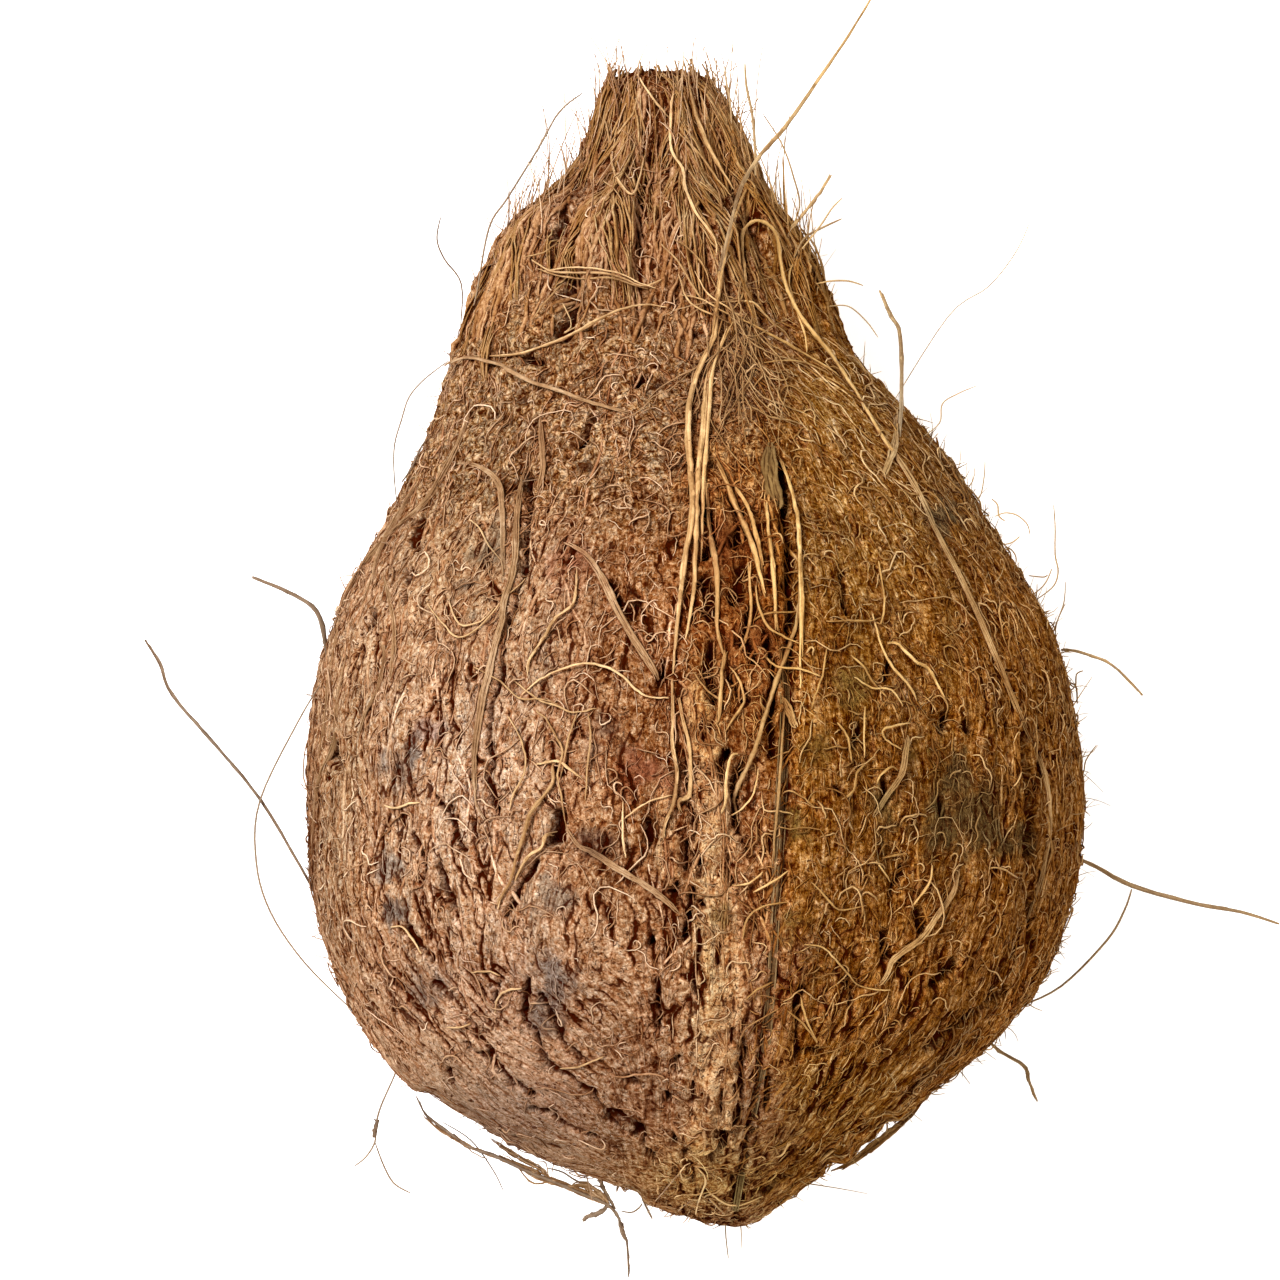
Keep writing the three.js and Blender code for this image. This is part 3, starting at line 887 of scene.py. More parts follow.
def coir_material(
    name,
    left_shades,
    right_shades,
    roughness=0.8,
    shadow=(0.36, 0.14, 0.04),
    reach=1.3,
    grain=0.5,
    sheen=0.02,
    variety=USUAL_VARIETY,
    speckled=0.0,
):
    """Dry coir: each fibre has its own shade, pinkish left of the seam and golden right of it."""
    material, tree, shader = new_material(name)
    where, x = millimetres(tree)
    own = add(tree, "NewGeometry").outputs["Random Per Island"]
    mottle = add(tree, "TexNoise", Vector=where, Scale=1.6, Detail=5, Roughness=0.7)
    drawn_out = add(tree, "Mapping", Vector=where, Scale=(0.45, 0.05, 0.45)).outputs["Vector"]
    clumps = add(tree, "TexNoise", Vector=drawn_out, Scale=1.0, Detail=2)
    own_part = plus(tree, times(tree, own, variety), 0.5 * (USUAL_VARIETY - variety))
    mottled = times(tree, minus(tree, mottle.outputs["Fac"], 0.3), 0.85)
    shade = plus(tree, own_part, mottled)
    shade = plus(tree, shade, minus(tree, clumps.outputs["Fac"], 0.42))
    right = eased(tree, x, -6, 14)
    colour = blend(tree, right, shades(tree, shade, left_shades), shades(tree, shade, right_shades))
    colour = tinted_and_shaded(tree, colour, shade)
    # Specks of the grain's own tone; the palest are painted highlights on the grains, the darkest painted shade
    # between them.
    speckle = add(tree, "TexNoise", Vector=where, Scale=2.3, Detail=3, Roughness=0.7)
    specked = blend(tree, 1.0, colour, shades(tree, speckle.outputs["Fac"], SPECKS_AND_HIGHLIGHTS), "MULTIPLY")
    # Painted shade: the fibre turns to its shadow colour where other fibres or husk crowd it within reach.
    colour = painted_crevice_shade(tree, blend(tree, speckled, colour, specked), reach * MM, shadow)
    bump = add(tree, "Bump", Strength=grain, Distance=0.12 * MM, Height=mottle.outputs["Fac"])
    tree.links.new(colour, shader.inputs["Base Color"])
    tree.links.new(bump.outputs["Normal"], shader.inputs["Normal"])
    shader.inputs["Roughness"].default_value = roughness
    shader.inputs["Specular IOR Level"].default_value = sheen
    return material


mat_material = coir_material(
    "mat_coir",
    [
        (0.05, (0.12, 0.035, 0.006)),
        (0.35, (0.28, 0.130, 0.052)),
        (0.6, (0.44, 0.270, 0.150)),
        (0.95, (0.66, 0.48, 0.32)),
    ],
    [
        (0.05, (0.07, 0.014, 0.0005)),
        (0.35, (0.175, 0.066, 0.007)),
        (0.6, (0.32, 0.165, 0.045)),
        (0.95, (0.60, 0.40, 0.19)),
    ],
    speckled=0.8,
)


def sow(count, density):
    """Start points spread over the coat, thinned by density(x, y, z in millimetres), 0 to 1."""
    weight = areas * np.clip(density(*(centres / MM).T), 0, 1)
    chosen = chance.choice(len(areas), size=count, p=weight / weight.sum())
    return [Vector(centres[i]) for i in chosen]


def above(y, z):
    return ramp(22, 44, z) * (1 - 0.6 * ramp(52, 60, y))


def right_of_seam(x):
    return ramp(2, 12, x)


def bark(x, y, z):
    """The left face, where the husk is bare of fibres but for its edge."""
    return ramp(-42, -34, x) * (1 - ramp(-8, 0, x)) * (1 - ramp(4, 16, y)) * ramp(40, 60, z)


def on_slab(x, y, z):
    """The broad slab of husk left of the seam, which is bare of fibres too."""
    return band(-1.5, 0.5, 5.5, 7.5, x) * (1 - ramp(-8, 2, y)) * ramp(-56, -50, y) * ramp(40, 60, z)


def left_mat(x, y, z):
    bare = (1 - 0.72 * bark(x, y, z)) * (1 - 0.7 * on_slab(x, y, z))
    return above(y, z) * (1 - right_of_seam(x)) * bare


def right_mat(x, y, z):
    return above(y, z) * right_of_seam(x) * (1 - 0.7 * on_slab(x, y, z))


MAT_PARTS = {
    "mat_left": (2500, left_mat),
    "mat_right": (2500, right_mat),
    "mat_under": (1500, lambda x, y, z: 1 - ramp(22, 44, z)),
}
MAT_STEPS = 6
for name, (count, density) in MAT_PARTS.items():
    fibres = []
    for start in sow(count, density):
        # right of the knot under the tuft the mat is combed away from it
        x, y, _ = start / MM
        combed = float(ramp(30, 40, y) * ramp(5, 11, x) * (1 - ramp(57, 61, y)) * ramp(40, 50, start.z / MM))
        lean = 0.75 * combed * math.atan2(x - 3, max(60 - y, 5))
        low = float(ramp(22, 32, -y) * ramp(12, 18, x))
        strays = (0.55 if name == "mat_right" else 0.45) * (1 - 0.6 * max(combed, low))
        length = chance.uniform(1.2, 5.0) * (1 + combed) * MM
        radius = chance.uniform(0.06, 0.16) * MM
        headings = wander(lean + chance.normal(0, strays), 0.26 - 0.16 * combed, MAT_STEPS)
        points, normals = walk(start, headings, length / MAT_STEPS)
        rise = chance.uniform(0, 0.25) * MM * np.sin(np.linspace(0, math.pi, MAT_STEPS + 1)) - 0.3 * radius
        fibres.append((lie(points, normals, rise), tapered(MAT_STEPS + 1, radius)))
    strand_piece(name, fibres, 3, mat_material)


# ----------------------------------------------------------------------------------------------------
# Husk strands: thicker cords of husk, half buried, that run lengthwise and part and join. They carry the bark
# look of the left face and the ribs along the edges.
husk_strand_material = coir_material(
    "husk_strand",
    [
        (0.05, (0.14, 0.045, 0.012)),
        (0.4, (0.33, 0.165, 0.080)),
        (0.65, (0.47, 0.295, 0.175)),
        (0.95, (0.66, 0.48, 0.33)),
    ],
    [
        (0.05, (0.08, 0.020, 0.001)),
        (0.4, (0.18, 0.070, 0.010)),
        (0.65, (0.30, 0.145, 0.036)),
        (0.95, (0.54, 0.35, 0.16)),
    ],
    0.9,
    speckled=0.8,
    shadow=(0.45, 0.23, 0.12),
    reach=1.0,
    grain=1.0,
)
HUSK_STRANDS = 720
STRAND_STEPS = 11


def strand_density(x, y, z):
    between_edge_and_seam = band(8, 16, 36, 44, x)
    crumbly = ramp(-26, -18, x) * (1 - ramp(0, 4, x)) + ramp(22, 30, y)
    ground = (1 - 0.75 * between_edge_and_seam) * (1 - 0.75 * np.clip(crumbly, 0, 1)) * (1 - ramp(50, 56, y))
    return ground * (1 - 0.6 * bark(x, y, z))


husk_strands = []
for start in sow(HUSK_STRANDS, strand_density):
    length = chance.uniform(5, 17) * MM
    radius = chance.uniform(0.13, 0.30) * MM
    headings = wander(chance.normal(0, 0.12), 0.13, STRAND_STEPS)
    points, normals = walk(start, headings, length / STRAND_STEPS)
    rise = np.full(STRAND_STEPS + 1, -0.5 * radius)
    rise[0] = rise[-1] = -1.5 * radius
    husk_strands.append((lie(points, normals, rise, 1), knotty(tapered(STRAND_STEPS + 1, radius, 0.25), 0.2)))
strand_piece("husk_strands", husk_strands, 4, husk_strand_material)


# ----------------------------------------------------------------------------------------------------
# Curled fibres: pale, thin and springy, they have sprung out of the mat and lie over it in waves and hooks.
curl_material = coir_material(
    "curled_coir",
    [(0.05, (0.24, 0.11, 0.045)), (0.5, (0.43, 0.265, 0.145)), (0.95, (0.70, 0.51, 0.34))],
    [(0.05, (0.14, 0.052, 0.009)), (0.5, (0.29, 0.156, 0.048)), (0.95, (0.54, 0.350, 0.155))],
    0.75,
    sheen=0.02,
    variety=0.8,
)
CURLS = 1030
SHORT_CURLS = 0.75  # the share of them that is short
# Loose tangles of them: where, seen from above, and how far each spreads.
TANGLES = [((-31, 19), 4.5), ((-18, 8), 5), ((-16, -2), 5), ((-24, -7), 4.5), ((-9, -7), 4), ((-5, 13), 3)]


def curl_density(x, y, z):
    thick = 0.25 + 0.55 * ramp(-28, -14, x) * ramp(-34, -20, y)
    thick = thick + 0.9 * band(-3, 1, 11, 14, x) * band(-6, 2, 38, 48, y)
    thick = np.minimum(thick, 1)
    for (across, along), spread in TANGLES:
        thick = thick + 1.8 * np.exp(-((x - across) ** 2 + (y - along) ** 2) / spread**2)
    return 0.35 * ramp(5, 40, z) * (1 - 0.8 * ramp(48, 56, y)) * thick * (1 + 0.2 * ramp(13, 18, x))


def springy(start, length, steps, curl, lean, stray, pull, rises, radii, tip):
    """A fibre that curls over the husk. rises and radii are its least and most, in millimetres."""
    hook = chance.normal(0, curl)
    headings = np.array(wander(chance.normal(0, lean), stray, steps, pull)) + hook * np.arange(steps)
    points, normals = walk(start, headings, length / steps)
    rise = chance.uniform(*rises) * MM * np.sin(np.linspace(0.1, math.pi, steps + 1)) ** 0.7
    radius = chance.uniform(*radii) * MM
    return lie(points, normals, rise), tapered(steps + 1, radius, tip)


curls = []
for start in sow(CURLS, curl_density):
    length = (chance.uniform(1.8, 6) if chance.uniform() < SHORT_CURLS else chance.uniform(6, 13)) * MM
    curls.append(springy(start, length, 10, 0.16, 0.9, 0.42, 0.12, (0.12, 0.7), (0.08, 0.165), 0.5))
strand_piece("curled_fibres", curls, 3, curl_material, 0.5)

# Frizz: short, hair-thin fibres that stand up between the longer ones, thickest on the crumbly husk.
FRIZZ = 1700


def frizz_density(x, y, z):
    upward = ramp(30, 52, z) * (1 - 0.6 * ramp(34, 44, y)) * (1 - ramp(54, 62, y))
    return upward * (1 - 0.6 * bark(x, y, z))


frizz = []
for start in sow(FRIZZ, frizz_density):
    length = chance.uniform(0.9, 3.8) * MM
    frizz.append(springy(start, length, 6, 0.22, 1.0, 0.45, 0.1, (0.1, 0.5), (0.06, 0.115), 0.6))
strand_piece("frizz", frizz, 3, curl_material, 0.7)


# ----------------------------------------------------------------------------------------------------
# The tuft: long flat fibres gathered from the shoulders and cut off above the stem end, where they fray.
tuft_material = coir_material(
    "tuft_coir",
    [
        (0.05, (0.14, 0.050, 0.006)),
        (0.4, (0.28, 0.152, 0.052)),
        (0.65, (0.385, 0.248, 0.115)),
        (0.95, (0.50, 0.38, 0.23)),
    ],
    [
        (0.05, (0.13, 0.046, 0.003)),
        (0.4, (0.240, 0.115, 0.026)),
        (0.65, (0.335, 0.200, 0.076)),
        (0.95, (0.47, 0.330, 0.170)),
    ],
    shadow=(0.44, 0.20, 0.055),
    reach=1.8,
    grain=0.3,
    sheen=0.02,
    variety=0.24,
    speckled=0.4,
)
TUFT_STEPS = 12


def tuft_density(x, y, z):
    thick = (0.35 + 0.65 * ramp(30, 50, z)) * (0.6 + 0.4 * ramp(-10, 4, x))
    return band(46, 72, 84, 88, y) * thick


def cut_off(strand, radii, kept):
    """What is left of a strand and its radii where the tuft was cut."""
    return strand[:kept], radii[:kept]


# The fibres hang together in locks.
LOCKS = 185
LOCK_FIBRES = 6
LEAST_POINTS = 4  # a strand that is cut to fewer is left out
tuft_fibres = []
for start in sow(LOCKS, tuft_density):
    lean = chance.normal(0, 0.11)
    lock_length = chance.uniform(9, 27)
    lock_rise = chance.uniform(0, 0.8)
    for _ in range(LOCK_FIBRES):
        length = lock_length * chance.uniform(0.6, 1) * MM
        headings = wander(lean + chance.normal(0, 0.03), 0.035, TUFT_STEPS, 0.15)
        points, normals = walk(start + Vector(chance.normal(0, 0.4, 3)) * MM, headings, length / TUFT_STEPS)
        radius = chance.uniform(0.09, 0.26) * MM
        arch = np.sin(np.linspace(0, 2.7, TUFT_STEPS + 1))
        rise = (lock_rise + chance.uniform(-0.1, 0.2)) * MM * arch - 0.1 * radius
        rise[:2] -= (0.5 * MM, 0.15 * MM)
        strand = lie(points, normals, rise, 2)
        cut = chance.normal(91.6, 2.0) * MM
        kept = sum(1 for p in strand if p.y < cut)
        if kept >= LEAST_POINTS:
            tuft_fibres.append(cut_off(strand, knotty(tapered(TUFT_STEPS + 1, radius, 0.4)), kept))
strand_piece("tuft", tuft_fibres, 3, tuft_material)

# Left of its middle the tuft is thicker, crumbly cords of husk with deep gaps between them.
CORD_STEPS = 11
cord_material = coir_material(
    "cord_husk",
    [
        (0.05, (0.10, 0.030, 0.002)),
        (0.4, (0.26, 0.127, 0.048)),
        (0.65, (0.40, 0.236, 0.124)),
        (0.95, (0.54, 0.385, 0.25)),
    ],
    [
        (0.05, (0.10, 0.030, 0.001)),
        (0.4, (0.21, 0.096, 0.018)),
        (0.65, (0.31, 0.175, 0.060)),
        (0.95, (0.45, 0.31, 0.155)),
    ],
    0.9,
    reach=2.2,
    grain=1.0,
    variety=0.26,
    speckled=0.8,
)
CORDS = 340


def cord_density(x, y, z):
    return band(48, 56, 78, 84, y) * ramp(34, 50, z) * (1 - 0.75 * ramp(0, 5, x))


cords = []
for start in sow(CORDS, cord_density):
    length = chance.uniform(7, 20) * MM
    points, normals = walk(start, wander(chance.normal(0, 0.07), 0.07, CORD_STEPS, 0.15), length / CORD_STEPS)
    radius = chance.uniform(0.16, 0.44) * MM
    rise = np.full(CORD_STEPS + 1, 0.2 * radius)
    rise[:3] = (-3.5 * radius, -1.8 * radius, -0.6 * radius)
    strand = lie(kinked(points, 0.12 * MM), normals, rise, 2)
    cut = chance.normal(90.5, 1.0) * MM
    kept = sum(1 for p in strand if p.y < cut)
    if kept >= LEAST_POINTS:
        cords.append(cut_off(strand, knotty(tapered(CORD_STEPS + 1, radius, 0.35), 0.3), kept))
strand_piece("tuft_cords", cords, 4, cord_material)

# Where it was cut the tuft frays: fine wisps spring out of its sides and its end.
WISPS = 560
WISP_STEPS = 6


def off_girth(y, z):
    """How far above or below its widest girth a point of the coat is. The axis dips towards the tuft."""
    return np.abs(z - 49.5 + 0.09 * y)


def sprung(spot, direction, bend, length, steps):
    """The path of a fibre that springs off the coat and bends a little at each step. Metres."""
    path = [spot]
    for _ in range(steps):
        spot = spot + direction * length / steps
        direction = (direction + bend).normalized()
        path.append(spot)
    return path


wisps = []
for start in sow(WISPS, lambda x, y, z: band(56, 80, 90, 91, y) * (1.3 - ramp(5, 13, off_girth(y, z)))):
    point, normal, _, _ = guide.find_nearest(start)
    forward, across = lengthwise_and_across(normal)
    direction = (forward + normal * chance.uniform(0.1, 0.7) + across * chance.normal(0, 0.22)).normalized()
    bend = normal * chance.normal(0, 0.08) + across * chance.normal(0, 0.09)
    length = min(2.5 + chance.exponential(4.6), 98 - point.y / MM) * MM
    path = sprung(point + normal * coat_height(point, normal), direction, bend, length, WISP_STEPS)
    wisps.append((path, chance.uniform(0.08, 0.15) * MM * np.linspace(1, 0.45, WISP_STEPS + 1)))
strand_piece("tuft_wisps", wisps, 3, curl_material)


# ----------------------------------------------------------------------------------------------------
# The long strands: the thickest coir fibres, which have worked loose from the coat and lie over it. Each is
# laid along its own route, seen from above, in millimetres.
def smooth_route(route, per_span=5):
    """A Catmull-Rom curve through points in millimetres."""
    ends = [route[0]] + list(route) + [route[-1]]
    made = []
    for a, b, c, d in zip(ends, ends[1:], ends[2:], ends[3:]):
        a, b, c, d = (Vector(v) for v in (a, b, c, d))
        for i in range(per_span):
            t = i / per_span
            straight = 2 * b + (c - a) * t
            curved = (2 * a - 5 * b + 4 * c - d) * t**2
            made.append(0.5 * (straight + curved + (3 * b - a - 3 * c + d) * t**3))
    made.append(Vector(route[-1]))
    return made


eye = Vector(EYE) * MM


def draped(route, radius, lift, stiffness=3):
    """Lays a route, as the eye sees it, over the coat. lift is how far its middle rises, in millimetres."""
    sheet_points = [Vector((p.x, p.y, SHEET)) * MM for p in smooth_route([(*xy, 0) for xy in route], 4)]
    depths = []
    for p in sheet_points:
        hit, _, _, distance = surface.ray_cast(eye, (p - eye).normalized())
        depths.append(-distance if hit else (depths[-1] if depths else -0.6))
    depths = stiffened(np.array(depths), stiffness, 0.5)
    over_tuft = 0.6 * ramp(50, 57, np.array([p.y / MM for p in sheet_points]))
    depths += (0.1 + 0.5 * radius + over_tuft + lift * np.sin(np.linspace(0, math.pi, len(depths)))) * MM
    return [eye - (p - eye).normalized() * depth for p, depth in zip(sheet_points, depths)]


def bundle(points, radius, count, spread):
    """A strand as the few fibres it is made of: they wind round it and part at its ends. Metres."""
    made = []
    share = np.linspace(0, 1, len(points))
    parting = 1 + 1.8 * np.abs(2 * share - 1) ** 7
    for i in range(count):
        turn = 2 * math.pi * i / count + chance.uniform(-0.5, 0.5) + chance.uniform(-5, 5) * share
        reach = radius * spread * parting * (0.75 + 0.35 * np.sin(7 * share + chance.uniform(0, 6)))
        first = int(chance.uniform(0, 0.12) * len(points))
        last = len(points) - int(chance.uniform(0, 0.15) * len(points))
        path = []
        for k in range(first, last):
            ahead = (points[min(k + 1, len(points) - 1)] - points[max(k - 1, 0)]).normalized()
            across = ahead.cross(Vector((0, 0, 1))).normalized()
            up = across.cross(ahead)
            path.append(points[k] + (across * math.cos(turn[k]) + up * 0.6 * math.sin(turn[k])) * reach[k])
        if len(path) > 2:
            radii = knotty(tapered(len(path), radius * chance.uniform(0.55, 0.85), 0.25), 0.18)
            made.append((kinked(path, 0.035 * MM), radii))
    return made


def strip(points, half_width, count):
    """A flat strip of husk: fibres side by side, a little uneven, with a few ends that split off. Metres."""
    made = []
    share = np.linspace(0, 1, len(points))
    for i in range(count):
        offset = half_width * (2 * (i + 0.5) / count - 1) * (0.3 + 0.7 * np.sin(np.pi * share) ** 0.5)
        offset = offset + 0.16 * half_width * np.sin(chance.uniform(7, 16) * share + chance.uniform(0, 6))
        first = int(chance.uniform(0, 0.14) * len(points))
        last = len(points) - int(chance.uniform(0, 0.14) * len(points))
        level = chance.uniform(-0.12, 0.12) * half_width
        path = []
        for k in range(first, last):
            ahead = (points[min(k + 1, len(points) - 1)] - points[max(k - 1, 0)]).normalized()
            across = ahead.cross(Vector((0, 0, 1))).normalized()
            path.append(points[k] + across * offset[k] + Vector((0, 0, level)))
        if len(path) > 2:
            radii = knotty(tapered(len(path), 2.0 * half_width / count, 0.4), 0.2)
            made.append((kinked(path, 0.03 * MM), radii))
    return made


SINGLE_BELOW = 0.22  # mm. A strand of a smaller radius is one fibre, a thicker one is a bundle.


def laid_strands(routes, strip_fibres=0):
    """Strands laid over the coat. A route has a radius, a lift and its points."""
    strands = []
    for radius, lift, route in routes:
        points = draped(route, radius, lift)
        if strip_fibres:
            strands += strip(points, radius * MM, strip_fibres)
        elif radius >= SINGLE_BELOW:
            strands += bundle(points, radius * MM, 3, 0.36)
        else:
            strands.append((kinked(points, 0.03 * MM), knotty(tapered(len(points), 0.82 * radius * MM, 0.5))))
    return strands


